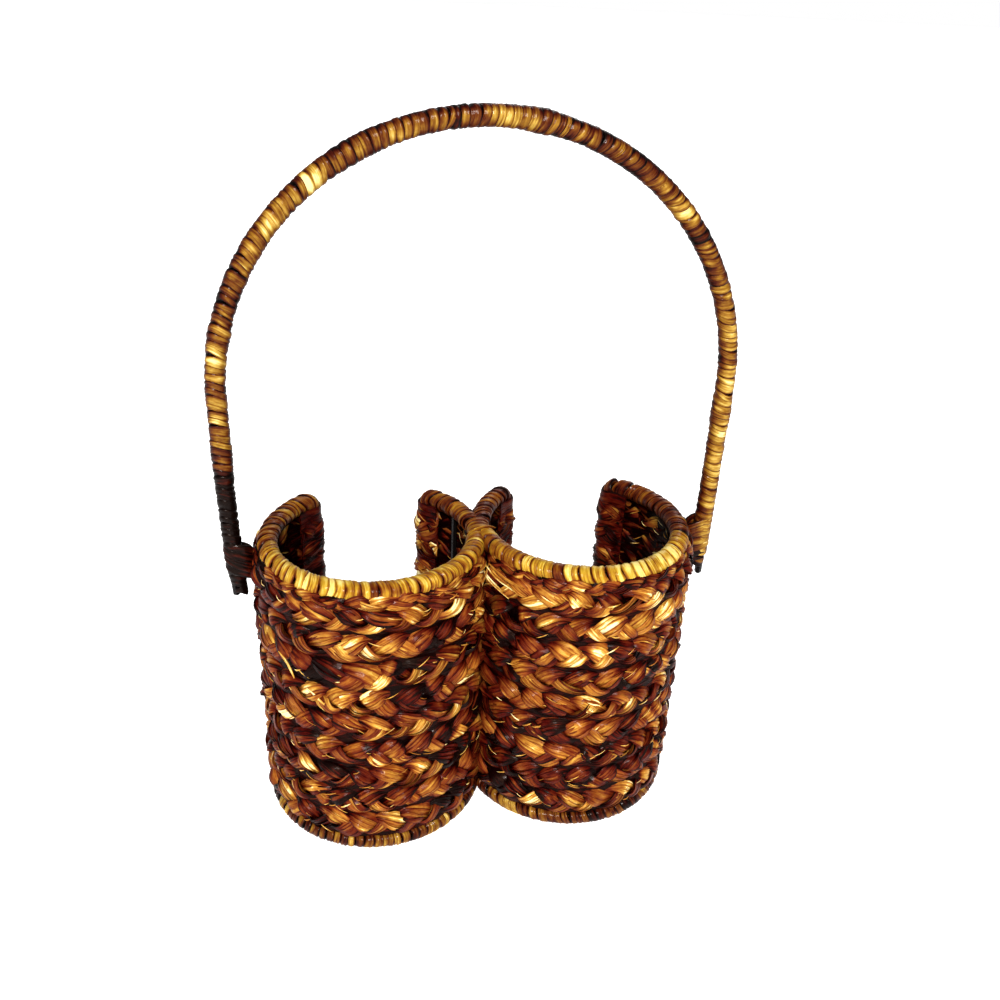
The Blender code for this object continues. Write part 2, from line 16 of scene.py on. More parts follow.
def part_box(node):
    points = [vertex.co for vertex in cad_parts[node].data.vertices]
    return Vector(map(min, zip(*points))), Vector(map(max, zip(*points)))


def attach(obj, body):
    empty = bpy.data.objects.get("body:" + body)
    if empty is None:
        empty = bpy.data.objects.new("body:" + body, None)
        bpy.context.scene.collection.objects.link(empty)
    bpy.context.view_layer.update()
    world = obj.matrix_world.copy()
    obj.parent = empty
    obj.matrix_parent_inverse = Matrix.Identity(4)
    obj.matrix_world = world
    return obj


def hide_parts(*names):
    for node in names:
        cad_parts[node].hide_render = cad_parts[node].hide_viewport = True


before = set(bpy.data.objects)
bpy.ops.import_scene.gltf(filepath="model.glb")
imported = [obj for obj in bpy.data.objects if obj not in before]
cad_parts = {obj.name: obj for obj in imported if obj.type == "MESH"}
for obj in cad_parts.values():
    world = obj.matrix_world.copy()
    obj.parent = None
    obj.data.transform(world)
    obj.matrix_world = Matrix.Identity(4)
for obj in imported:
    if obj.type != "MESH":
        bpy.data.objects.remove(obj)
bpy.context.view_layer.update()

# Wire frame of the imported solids
CLEAR = 0.0003
RING_RADIUS = 0.0500
RING_WIRE_RADIUS = 0.0020
HALF_SPACING = RING_RADIUS + RING_WIRE_RADIUS + CLEAR / 2
RIM_HEIGHT = 0.1507
CORNER_RADIUS = 0.0050
FIRST_POST = math.radians(125.0)
LAST_POST = math.radians(411.0)

# Plaited wall
COURSE_COUNT = 9
PLAIT_THICKNESS = 0.0044
HOOK_RADIUS = RING_WIRE_RADIUS + CLEAR + PLAIT_THICKNESS / 2
TRACK_RADIUS = RING_RADIUS + HOOK_RADIUS
TRACK_FLAT = HALF_SPACING - (CLEAR + PLAIT_THICKNESS) / 2
TAIL_RADIUS = RING_RADIUS - HOOK_RADIUS
TAIL_ANGLE = math.radians(15.0)
WALL_BOTTOM = 0.0086
WALL_TOP = 0.1463
COURSE_PITCH = (WALL_TOP - WALL_BOTTOM) / COURSE_COUNT
PLAIT_REPEAT = 0.0430
PLAIT_SWAY = 0.0050
PLAIT_SWING = 0.0013
PLAIT_ROLL = math.radians(34.0)
STRAND_HALF_WIDTH = 0.0047
STRAND_HALF_DEPTH = 0.0011
PLAIT_STEP = 0.0012
HOOK_EASE = 0.036
TOP_DROOP = 0.0034
BACKING_OVERRUN = 0.0020
FOOT_OVERRUN = 0.0015

# Edges of a leaf sharper than this stay sharp
CREASE_ANGLE = math.radians(48.0)

# Wound leaf turns
TURN_STEP = math.radians(18.0)
RIM_OUTER_RADIUS = 0.0049
RIM_TURN_PITCH = 0.0040
BASE_CIRCLE = 0.0520
BASE_HEIGHT = 0.0042
BASE_TURN_PITCH = 0.0037
BASE_HALF_WIDTH = 0.0050
BASE_HALF_HEIGHT = 0.0042
MAT_PITCH = 0.0140
MAT_OUTER_CIRCLE = 0.0385
MAT_HEIGHT = 0.0062
MAT_STEP = 0.0015
MAT_BACKING_REACH = 0.0085
MAT_EYE_REACH = 0.0110
HANDLE_HALF_SPAN = 0.1190
HANDLE_SPRING = 0.2240
HANDLE_HALF_WIDTH = 0.0047
HANDLE_HALF_DEPTH = 0.0042
HANDLE_TURN_PITCH = 0.0035
LEAN_TOP = 0.1900
LEFT_LEAN = 0.0028
RIGHT_LEAN = 0.0006
LEAN_FOOT = 0.1230
LASHING_TOP = 0.1512
LASHING_SEAT = 0.1085
LEFT_LASHING_BOTTOM = 0.1340
RIGHT_LASHING_BOTTOM = 0.1270
LASHING_TURN_PITCH = 0.0034
LASHING_HALF_DEPTH = 0.0044
JOINT_REACH = 0.0068
TIP_REACH = 0.0060

# Camera fitted to the photograph: place, heading, downward pitch, roll and focal length
CAMERA_PLACE = Vector((-0.0801, -0.4127, 0.3851))
CAMERA_YAW = math.radians(12.35)
CAMERA_PITCH = math.radians(27.33)
CAMERA_ROLL = math.radians(-2.73)
FOCAL_PIXELS = 969.5
IMAGE_PIXELS = 1000.0
SENSOR_MM = 36.0

UP = np.array((0.0, 0.0, 1.0))
ALONG_X = np.array((1.0, 0.0, 0.0))
ALONG_Y = np.array((0.0, 1.0, 0.0))

# Leaf colours from the darkest to the lightest, with the tone each belongs to. On the
# wall the darkest give the painted shade in the hollows and the palest cream the painted glints
WALL_STOPS = ((0.0, (0.0020, 0.0003, 0.0006)), (0.06, (0.0130, 0.0004, 0.0005)),
              (0.20, (0.066, 0.0017, 0.0010)),
              (0.40, (0.125, 0.022, 0.0055)), (0.60, (0.23, 0.082, 0.0140)),
              (0.80, (0.41, 0.220, 0.0380)), (0.92, (0.62, 0.400, 0.0900)),
              (1.0, (0.84, 0.720, 0.3600)))
RUST_STOPS = ((0.0, (0.0120, 0.0004, 0.0005)), (0.20, (0.065, 0.0019, 0.0011)),
              (0.40, (0.155, 0.020, 0.0050)), (0.60, (0.29, 0.072, 0.0095)),
              (0.80, (0.47, 0.175, 0.0200)), (0.92, (0.64, 0.350, 0.0800)),
              (1.0, (0.86, 0.740, 0.4600)))
RIM_STOPS = ((0.0, (0.0045, 0.0004, 0.0006)), (0.20, (0.040, 0.0022, 0.0010)),
             (0.40, (0.120, 0.026, 0.0040)), (0.60, (0.26, 0.115, 0.0110)),
             (0.80, (0.46, 0.290, 0.0260)), (1.0, (0.70, 0.560, 0.1700)))
AMBER_STOPS = ((0.0, (0.0020, 0.0002, 0.0003)), (0.20, (0.048, 0.0040, 0.0014)),
               (0.40, (0.120, 0.036, 0.0050)), (0.60, (0.25, 0.130, 0.0150)),
               (0.80, (0.46, 0.310, 0.0660)), (1.0, (0.76, 0.620, 0.2800)))

# Patches of the wall's tone, partly its own colour and partly painted light towards
# the front and painted shade at the sides: degrees round the holder, height, reach of
# both, added tone
WALL_TONE_AND_LIGHT_PATCHES = {
    "left": ((205.0, 0.100, 14.0, 0.040, -0.14), (210.0, 0.030, 18.0, 0.020, -0.16),
             (240.0, 0.108, 12.0, 0.013, -0.30), (276.0, 0.131, 22.0, 0.010, 0.18),
             (270.0, 0.067, 26.0, 0.012, 0.16), (276.0, 0.025, 15.0, 0.010, 0.14),
             (286.0, 0.085, 12.0, 0.007, -0.16), (326.0, 0.062, 12.0, 0.040, -0.22),
             (182.0, 0.138, 18.0, 0.022, -0.50), (197.0, 0.141, 9.0, 0.012, -0.42),
             (125.0, 0.130, 12.0, 0.060, -0.22), (411.0, 0.130, 12.0, 0.060, 0.12)),
    "right": ((274.0, 0.129, 26.0, 0.012, 0.16), (226.0, 0.095, 12.0, 0.035, -0.16),
              (324.0, 0.045, 12.0, 0.026, -0.26), (275.0, 0.030, 40.0, 0.020, -0.08),
              (186.0, 0.140, 17.0, 0.020, -0.42), (326.0, 0.112, 12.0, 0.022, -0.20),
              (231.0, 0.146, 12.0, 0.012, -0.55), (125.0, 0.130, 12.0, 0.060, -0.22))}

# Holes between the strands, where the strands are pressed in and painted dark as
# shade: degrees round the holder, height, size
WALL_HOLES = {
    "left": ((224.0, 0.1300, 0.0038), (208.0, 0.1190, 0.0042), (293.7, 0.1206, 0.0040),
             (275.2, 0.1088, 0.0034), (257.2, 0.0943, 0.0030), (292.4, 0.0911, 0.0040),
             (281.0, 0.0684, 0.0036), (262.0, 0.0640, 0.0026), (241.1, 0.0257, 0.0038),
             (222.3, 0.0380, 0.0034), (252.0, 0.0880, 0.0030), (236.0, 0.1060, 0.0044),
             (222.0, 0.1050, 0.0044), (260.0, 0.0300, 0.0028), (306.0, 0.0620, 0.0034),
             (320.0, 0.0440, 0.0050), (288.0, 0.0290, 0.0026), (338.0, 0.1440, 0.0046)),
    "right": ((230.0, 0.1000, 0.0040), (216.0, 0.1120, 0.0036), (240.0, 0.0930, 0.0040),
              (262.0, 0.0900, 0.0036), (270.0, 0.0840, 0.0030), (232.0, 0.0620, 0.0034),
              (262.0, 0.0560, 0.0030), (272.0, 0.0320, 0.0034), (240.0, 0.0200, 0.0040),
              (220.0, 0.0380, 0.0040), (300.0, 0.0560, 0.0028), (318.0, 0.1250, 0.0048),
              (322.0, 0.1060, 0.0042), (310.0, 0.0860, 0.0036), (250.0, 0.1060, 0.0032),
              (326.0, 0.0380, 0.0048), (292.0, 0.0240, 0.0030), (340.0, 0.1430, 0.0052))}

# Tone of the rim's front turns against degrees round the holder: the leaf's
# own colour with painted light, palest towards the front and darker towards the sides
RIM_TONES_AND_LIGHT = {
    "left": ((125.0, 0.50), (175.0, 0.46), (205.0, 0.66), (235.0, 0.84), (258.0, 0.82),
             (275.0, 0.66), (300.0, 0.72), (325.0, 0.62), (352.0, 0.50)),
    "right": ((125.0, 0.38), (180.0, 0.40), (196.0, 0.32), (208.0, 0.62), (225.0, 0.84),
              (262.0, 0.86), (300.0, 0.80), (325.0, 0.66), (352.0, 0.62))}
RIM_SEAMS = {"left": 268.0, "right": 298.0}
SEAM_TONE = 0.44

# Tone of the handle's turns against the place along it
HANDLE_TONES = ((0.000, -0.10), (0.058, -0.07), (0.066, 0.20), (0.071, 0.34), (0.078, 0.56),
                (0.084, 0.42), (0.092, 0.62), (0.104, 0.38), (0.111, 0.70), (0.122, 0.62),
                (0.131, 0.68), (0.139, 0.34), (0.148, 0.22), (0.156, 0.50), (0.190, 0.66),
                (0.209, 0.74), (0.219, 0.40), (0.236, 0.46), (0.275, 0.44), (0.293, 0.54),
                (0.310, 0.40), (0.358, 0.38), (0.380, 0.66), (0.391, 0.66), (0.396, 0.24),
                (0.410, 0.58), (0.422, 0.40), (0.440, 0.70), (0.452, 0.54), (0.459, 0.36),
                (0.472, 0.80), (0.487, 0.62), (0.500, 0.74), (0.540, 0.60), (0.565, 0.62),
                (0.568, 0.40), (0.571, -0.10), (0.576, -0.12))


def unit(vectors):
    return vectors / np.linalg.norm(vectors, axis=-1, keepdims=True)


def smooth_step(values, low, high):
    share = np.clip((values - low) / (high - low), 0.0, 1.0)
    return share * share * (3 - 2 * share)


def noise_along(places, spacing, rng):
    """Smooth noise between -1 and 1 with a knot every spacing."""
    places = places - places.min()
    knots = rng.uniform(-1.0, 1.0, int(places.max() / spacing) + 3)
    index = (places / spacing).astype(int)
    share = places / spacing - index
    share = share * share * (3 - 2 * share)
    return knots[index] * (1 - share) + knots[index + 1] * share


class Route:
    """A line that leaf follows: points with two directions square to it."""

    def __init__(self, points, outward, up):
        self.points = np.asarray(points, float)
        self.outward = np.asarray(outward, float)
        self.up = np.asarray(up, float)
        steps = np.linalg.norm(np.diff(self.points, axis=0), axis=1)
        self.places = np.concatenate(([0.0], np.cumsum(steps)))
        self.length = self.places[-1]

    def at(self, places):
        def read(values):
            return np.stack([np.interp(places, self.places, values[:, axis])
                             for axis in range(3)], axis=1)
        return read(self.points), unit(read(self.outward)), unit(read(self.up))

    def part(self, start, end):
        keep = (self.places >= start) & (self.places <= end)
        return Route(self.points[keep], self.outward[keep], self.up[keep])


class Leaves:
    """Gathers leaf strips into one mesh piece."""

    def __init__(self):
        self.points = []
        self.faces = []
        self.fibre = []
        self.tone = []
        self.count = 0

    def strip(self, centre, across, normal, half_width, half_depth, tone, rng,
              ridges=2.0, ridge_depth=0.35, sides=(9, 3), edge_shade=0.25, seed=None):
        """A closed strip: crowned and creased on top, plainer underneath.

        half_width, half_depth and tone have a value for each station. ridges
        is the crease count and seed the leaf's own number, one for all or one
        for each.
        """
        count = len(centre)
        top, under = sides
        turn = np.concatenate((np.linspace(0, math.pi, top, endpoint=False),
                               np.linspace(math.pi, 2 * math.pi, under, endpoint=False)))
        flatten = 0.8
        side = np.sign(np.cos(turn)) * np.abs(np.cos(turn)) ** flatten
        height = np.sign(np.sin(turn)) * np.abs(np.sin(turn)) ** flatten
        ridges = np.broadcast_to(ridges, count)
        drift = rng.uniform(0, math.pi) + 0.6 * noise_along(np.arange(count) * 1.0, 9.0, rng)
        wave = np.abs(np.sin(math.pi * ridges[:, None] * (side[None, :] + 1) / 2
                             + drift[:, None]))
        crest = np.where(height[None, :] > 0, wave ** 0.7, 0.6)
        lift = height[None, :] * (1 - ridge_depth * (1 - crest)) * half_depth[:, None]
        reach = side[None, :] * half_width[:, None]
        points = (centre[:, None, :] + across[:, None, :] * reach[:, :, None]
                  + normal[:, None, :] * lift[:, :, None])
        # Leaf under the base is pressed flat on the floor
        points[:, :, 2] = np.maximum(points[:, :, 2], 0.0)
        # Painted light and shade: crease crests lighter, crease valleys and the underside darker,
        # and the leaf's edges darker by edge_shade
        shade = 0.22 * (crest - 0.75) - edge_shade * np.abs(side[None, :]) ** 5
        ring = len(turn)
        here = np.arange(count - 1)[:, None] * ring
        index = here + np.arange(ring)[None, :]
        after = here + (np.arange(ring)[None, :] + 1) % ring
        quads = np.stack((index, after, after + ring, index + ring), axis=2).reshape(-1, 4)
        low = np.arange(ring // 2 - 1)
        cap = np.stack((low, ring - 1 - low, ring - 2 - low, low + 1), axis=1)
        end_cap = cap[:, ::-1] + (count - 1) * ring
        run = np.concatenate(([0.0], np.cumsum(np.linalg.norm(np.diff(centre, axis=0), axis=1))))
        seed = np.broadcast_to(rng.uniform(0, 90) if seed is None else seed, count)
        fibre = np.stack((reach * 1000, np.broadcast_to(run[:, None] * 1000, reach.shape),
                          np.broadcast_to(seed[:, None], reach.shape)), axis=2)
        self.points.append(points.reshape(-1, 3))
        self.faces.append(np.concatenate((quads, cap, end_cap)) + self.count)
        self.fibre.append(fibre.reshape(-1, 3))
        self.tone.append((tone[:, None] + shade).reshape(-1))
        self.count += count * ring

    def piece(self, name, material, nodes=()):
        points = np.concatenate(self.points)
        faces = np.concatenate(self.faces)
        mesh = bpy.data.meshes.new(name)
        mesh.vertices.add(len(points))
        mesh.vertices.foreach_set("co", points.ravel())
        mesh.loops.add(faces.size)
        mesh.loops.foreach_set("vertex_index", faces.ravel())
        mesh.polygons.add(len(faces))
        mesh.polygons.foreach_set("loop_start", np.arange(len(faces)) * 4)
        mesh.update(calc_edges=True)
        mesh.validate()
        fibre = mesh.attributes.new("fibre", "FLOAT_VECTOR", "POINT")
        fibre.data.foreach_set("vector", np.concatenate(self.fibre).ravel())
        tone = mesh.attributes.new("tone", "FLOAT", "POINT")
        tone.data.foreach_set("value", np.concatenate(self.tone))
        mesh.shade_smooth()
        mesh.set_sharp_from_angle(angle=CREASE_ANGLE)
        mesh.materials.append(material)
        thing = bpy.data.objects.new(name, mesh)
        bpy.context.collection.objects.link(thing)
        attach(thing, "root")
        if nodes:
            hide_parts(*nodes)
        return thing


class Holder:
    """One holder; x of its own plan points to the other holder, y to the slot."""

    def __init__(self, name, side, seed):
        self.name = name
        self.side = side
        self.seed = seed

    def place(self, x, y, z):
        x, y, z = np.broadcast_arrays(x, y, z)
        return np.stack((self.side * (HALF_SPACING - x), y, z), axis=-1).astype(float)

    def heading(self, x, y):
        x, y = np.broadcast_arrays(x, y)
        return np.stack((-self.side * x, y, np.zeros_like(x)), axis=-1).astype(float)

    def rng(self, number):
        return np.random.default_rng(self.seed * 1000 + number)


def wall_plan():
    """Plan of a course: tail, hook, round the front, flat by the joint, hook, tail."""
    flat = math.acos(TRACK_FLAT / TRACK_RADIUS)
    fine = math.radians(2.0)
    half_turn = np.linspace(0.0, math.pi, 14)
    tail = np.arange(0.0, TAIL_ANGLE, fine)

    def hook(post, turns):
        return np.stack((RING_RADIUS * math.cos(post) + HOOK_RADIUS * np.cos(turns),
                         RING_RADIUS * math.sin(post) + HOOK_RADIUS * np.sin(turns)), axis=1)

    def circle(radii, angles):
        return np.stack((radii * np.cos(angles), radii * np.sin(angles)), axis=1)

    angles = np.arange(FIRST_POST, LAST_POST, fine)
    local = (angles + math.pi) % (2 * math.pi) - math.pi
    reach = np.where(np.abs(local) < flat, TRACK_FLAT / np.cos(local), TRACK_RADIUS)
    return np.concatenate((
        circle(TAIL_RADIUS, FIRST_POST + tail[::-1])[:-1],
        hook(FIRST_POST, FIRST_POST - half_turn[::-1]),
        circle(reach, angles)[1:],
        hook(LAST_POST, LAST_POST + half_turn),
        circle(TAIL_RADIUS, LAST_POST - tail)[1:]))


def course_route(holder, height):
    plan = wall_plan()
    along = unit(np.gradient(plan, axis=0))
    points = holder.place(plan[:, 0], plan[:, 1], height)
    outward = holder.heading(along[:, 1], -along[:, 0])
    return Route(points, outward, np.broadcast_to(UP, points.shape))


# Leaf strips of one strand: turn round its oval section, share of its half width
STRAND_STRIPS = ((math.radians(90.0), 0.42), (math.radians(58.0), 0.36),
                 (math.radians(122.0), 0.36), (math.radians(30.0), 0.30),
                 (math.radians(150.0), 0.30), (math.radians(232.0), 0.46),
                 (math.radians(308.0), 0.46))


def bundle(leaves, centre, tilted, normal, half_width, half_depth, tone, places, lobe,
           middle_share, rng, under_shade=0.3, dark=0.0):
    """One strand of the plait: flat leaf strips side by side round an oval.

    middle_share is 1 in the middle of a lobe and 0 where the strand dives
    under the next one, where the leaf is painted dark as shade; dark adds the
    painted shade round the plait's holes.
    """
    count = lobe.max() + 1
    shingle = rng.uniform(-0.32, 0.32, count)[lobe]
    # Painted shade where the strand dives under the next one and round the holes
    hollow_shade = 0.56 * (1 - middle_share) ** 1.2 + dark
    for turn, share in STRAND_STRIPS:
        top = math.sin(turn) > 0
        wander = 0.12 * noise_along(places, 0.009, rng)
        own_turn = turn + wander
        strip_half = share * half_width * (1 + 0.28 * noise_along(places, 0.006, rng))
        sideways = np.cos(own_turn) * (half_width - strip_half * 0.7)
        lift = np.sin(own_turn) * half_depth + 0.00026 * noise_along(places, 0.005, rng)
        lean = (math.pi / 2 - own_turn) * 0.42 if top else (own_turn - 1.5 * math.pi) * -0.6
        lean = lean + shingle + 0.20 * noise_along(places, 0.007, rng)
        cosine = np.cos(lean)[:, None]
        sine = np.sin(lean)[:, None]
        across = tilted * cosine - normal * sine
        face = normal * cosine + tilted * sine
        if not top:
            across, face = -across, -face
        # Painted shade: darker towards each lobe's ends and round the holes, on the strips at the
        # strand's sides, and underneath by under_shade
        strip_tone = (tone - hollow_shade + rng.normal(0.0, 0.11, count)[lobe]
                      + 0.07 * noise_along(places, 0.004, rng)
                      - (0.16 * math.cos(turn) ** 2 if top else under_shade))
        middle = (centre + tilted * sideways[:, None] + normal * lift[:, None])
        leaves.strip(middle, across, face, strip_half, np.full(len(places), 0.00030),
                     strip_tone, rng, ridges=rng.choice((1.0, 1.5, 2.0, 2.5), count)[lobe],
                     ridge_depth=0.65, sides=(8, 3) if top else (5, 3), edge_shade=0.30,
                     seed=rng.uniform(0, 90, count)[lobe])


def plait(leaves, route, rng, tones, direction=1, sway=PLAIT_SWAY, swing=PLAIT_SWING,
          half_width=STRAND_HALF_WIDTH, half_depth=STRAND_HALF_DEPTH, repeat=PLAIT_REPEAT,
          ease=HOOK_EASE, under_shade=0.0, holes=(), droop=0.0, step=PLAIT_STEP):
    """Three strands plaited flat along a route.

    tones gives the leaf tone of one lobe for its place along the route. ease
    is the length at each end over which the plait draws flat, and droop how
    far it sinks there. A hole is a point and a size: round it the strands are
    pressed in and painted dark as shade.
    """
    places = np.arange(0.0, route.length, step)
    point, outward, up = route.at(places)
    start = rng.uniform(0, 2 * math.pi)
    calm = smooth_step(np.minimum(places, route.length - places), ease * 0.4, ease)
    for strand in range(3):
        turn = direction * 2 * math.pi * places / repeat + start + strand * 2 * math.pi / 3
        turn = turn + 0.50 * noise_along(places, repeat / 3, rng)
        lobe_at = (turn - math.radians(30.0)) / math.pi
        lobe = np.floor(lobe_at + 0.5).astype(int)
        lobe -= lobe.min()
        count = lobe.max() + 1
        middle = np.array([places[lobe == number].mean() if (lobe == number).any() else 0.0
                           for number in range(count)])
        tone = np.array([tones(place, rng) for place in middle])[lobe]
        size = rng.uniform(0.84, 1.18, count)[lobe]
        nudge = rng.uniform(-0.0010, 0.0010, count)[lobe]
        raised = rng.uniform(-0.0002, 0.0007, count)[lobe]
        tipped = rng.uniform(-0.25, 0.25, count)[lobe]
        middle_share = np.cos(math.pi * (lobe_at - np.floor(lobe_at + 0.5))) ** 2
        height = (sway * (0.82 + 0.18 * calm) * np.sin(turn) + nudge * middle_share
                  - droop * (1 - calm))
        depth = (swing * (0.30 + 0.70 * calm) * np.sin(2 * turn)
                 + raised * middle_share * calm)
        width = half_width * size * (0.46 + 0.62 * middle_share ** 0.8) * (1.18 - 0.18 * calm)
        thick = half_depth * (0.45 + 0.55 * calm) * (0.75 + 0.3 * middle_share)
        end = np.clip(np.minimum(places, route.length - places) / 0.003, 0.15, 1.0)
        roll = (PLAIT_ROLL * np.sin(turn) + tipped * middle_share) * (0.35 + 0.65 * calm)
        # Painted shade round each hole, where the strands are also pressed in
        dark = np.zeros(len(places))
        for spot, reach in holes:
            gap = np.linalg.norm(point + up * height[:, None] - spot, axis=1) / reach
            dark = np.maximum(dark, 1 - smooth_step(gap, 0.7, 1.3))
        centre = point + up * height[:, None] + outward * (depth - 0.0016 * dark)[:, None]
        run = unit(np.gradient(centre, axis=0))
        level = unit(np.cross(run, outward))
        level *= np.sign(np.sum(level * up, axis=1))[:, None]
        face = unit(np.cross(level, run))
        face *= np.sign(np.sum(face * outward, axis=1))[:, None]
        tilted = level * np.cos(roll)[:, None] - face * np.sin(roll)[:, None]
        normal = face * np.cos(roll)[:, None] + level * np.sin(roll)[:, None]
        bundle(leaves, centre, tilted, normal, width * end, thick * end, tone, places, lobe,
               middle_share, rng, under_shade, dark)


def backing(leaves, route, rng, low, high, offset, swell=0.0):
    """Leaf painted dark as shade behind the plait's gaps, in wavy strips one
    above another.

    At the ends it comes out by swell and is paler, where the plait turns back.
    """
    places = np.arange(0.0, route.length, PLAIT_STEP * 2)
    point, outward, up = route.at(places)
    end_share = 1 - smooth_step(np.minimum(places, route.length - places), 0.026, 0.032)
    end_share = end_share if swell else np.zeros(len(places))
    strips = 6
    step = (high - low) / strips
    for number in range(strips):
        height = low + (number + 0.5) * step + 0.0006 * noise_along(places, 0.008, rng)
        out = offset + swell * end_share + 0.0003 * noise_along(places, 0.006, rng)
        # Near-black tone: painted shade seen through the plait's gaps, paler at the turned-back
        # ends
        tone = 0.04 + 0.18 * end_share + 0.06 * noise_along(places, 0.012, rng)
        leaves.strip(point + up * height[:, None] + outward * out[:, None], up, outward,
                     np.full(len(places), step * 0.72), np.full(len(places), 0.0005), tone,
                     rng, ridges=2.0, ridge_depth=0.5, sides=(5, 3))


def glint_slivers(leaves, route, rng, count, reach, lift, face=1, tone_range=(0.80, 1.0)):
    """Thin pale strands that lie across the plait's face: painted glints."""
    for number in range(count):
        length = rng.uniform(0.003, 0.0075)
        start = rng.uniform(HOOK_EASE, route.length - HOOK_EASE - length)
        stations = 12
        share = np.linspace(0.0, 1.0, stations)
        point, outward, up = route.at(start + share * length)
        low = rng.uniform(-reach, reach)
        slope = rng.uniform(0.15, 0.7) * rng.choice((-1.0, 1.0))
        bow = rng.uniform(-0.00015, 0.00015)
        height = low + slope * length * (share - 0.5) + bow * 4 * share * (1 - share)
        out = lift * (0.78 + 0.25 * np.sin(math.pi * share)) + rng.uniform(0, 0.0004)
        centre = point + up * height[:, None] + outward * face * out[:, None]
        run = unit(np.gradient(centre, axis=0))
        level = unit(np.cross(run, outward))
        width = rng.uniform(0.00018, 0.00045) * np.sin(math.pi * (0.08 + 0.84 * share))
        tone = np.full(stations, rng.uniform(*tone_range))
        leaves.strip(centre, level, outward * face, width, np.full(stations, 0.00014), tone,
                     rng, ridges=1.0, sides=(5, 3), edge_shade=0.0)


def wall_tones(holder, route, height):
    """Leaf tones of a course: paler high up, with the patches of its holder, which
    hold painted light and shade, and with painted shade on the tails inside the ring.
    """
    ends = TAIL_RADIUS * TAIL_ANGLE + math.pi * HOOK_RADIUS
    tail = TAIL_RADIUS * TAIL_ANGLE

    def tone(place, rng):
        share = min(max((place - ends) / (route.length - 2 * ends), 0.0), 1.0)
        angle = math.degrees(FIRST_POST + (LAST_POST - FIRST_POST) * share)
        base = 0.62 + 0.12 * (height / WALL_TOP - 0.5)
        for middle, level, wide, tall, change in WALL_TONE_AND_LIGHT_PATCHES[holder.name]:
            base += change * math.exp(-((angle - middle) / wide) ** 2
                                      - ((height - level) / tall) ** 2)
        # Painted shade on the tails that turn back inside the ring
        if min(place, route.length - place) < tail:
            base -= 0.16
        return float(np.clip(rng.normal(base, 0.19), 0.04, 0.98))
    return tone


def wall_holes(holder):
    """Points on the wall's face and sizes of the holder's hollows."""
    found = []
    for degrees, height, reach in WALL_HOLES[holder.name]:
        angle = math.radians(degrees)
        found.append((holder.place(TRACK_RADIUS * math.cos(angle),
                                   TRACK_RADIUS * math.sin(angle), height), reach))
    return found


def build_walls(holder, leaf):
    for row in range(COURSE_COUNT):
        rng = holder.rng(row)
        height = WALL_BOTTOM + (row + 0.5) * COURSE_PITCH
        route = course_route(holder, height)
        leaves = Leaves()
        direction = 1 if (row + (holder.side > 0)) % 2 else -1
        low = -COURSE_PITCH / 2 if row else -COURSE_PITCH / 2 - FOOT_OVERRUN
        high = COURSE_PITCH / 2 + (BACKING_OVERRUN if row == COURSE_COUNT - 1 else 0.0)
        backing(leaves, route, rng, low, high, -0.0006, swell=0.0008)
        plait(leaves, route, rng, wall_tones(holder, route, height), direction=direction,
              holes=wall_holes(holder), droop=TOP_DROOP if row == COURSE_COUNT - 1 else 0.0)
        # Pale strands on both faces of the wall as painted glints
        glint_slivers(leaves, route, rng, 26, 0.0050, 0.0026, tone_range=(0.72, 0.94))
        glint_slivers(leaves, route, rng, 44, 0.0056, 0.0028, face=-1, tone_range=(0.55, 1.0))
        leaves.piece("%s_plait_%d" % (holder.name, row + 1), leaf,
                     ["%s_course_%d" % (holder.name, row + 1)])


def build_collar(holder, leaf):
    """Flat plait tucked under the rim, which fills the top of the wall."""
    rng = holder.rng(15)
    height = WALL_TOP + 0.0006
    whole = course_route(holder, height)
    ends = TAIL_RADIUS * TAIL_ANGLE + math.pi * HOOK_RADIUS + 0.003
    route = whole.part(ends, whole.length - ends)
    leaves = Leaves()
    tones = wall_tones(holder, whole, height)

    def tone(place, rng):
        return tones(place + ends, rng)

    plait(leaves, route, rng, tone, sway=0.0018, swing=0.0006, half_width=0.0031,
          half_depth=0.0007, repeat=0.036, ease=0.010, holes=wall_holes(holder))
    leaves.piece(holder.name + "_collar_plait", leaf)


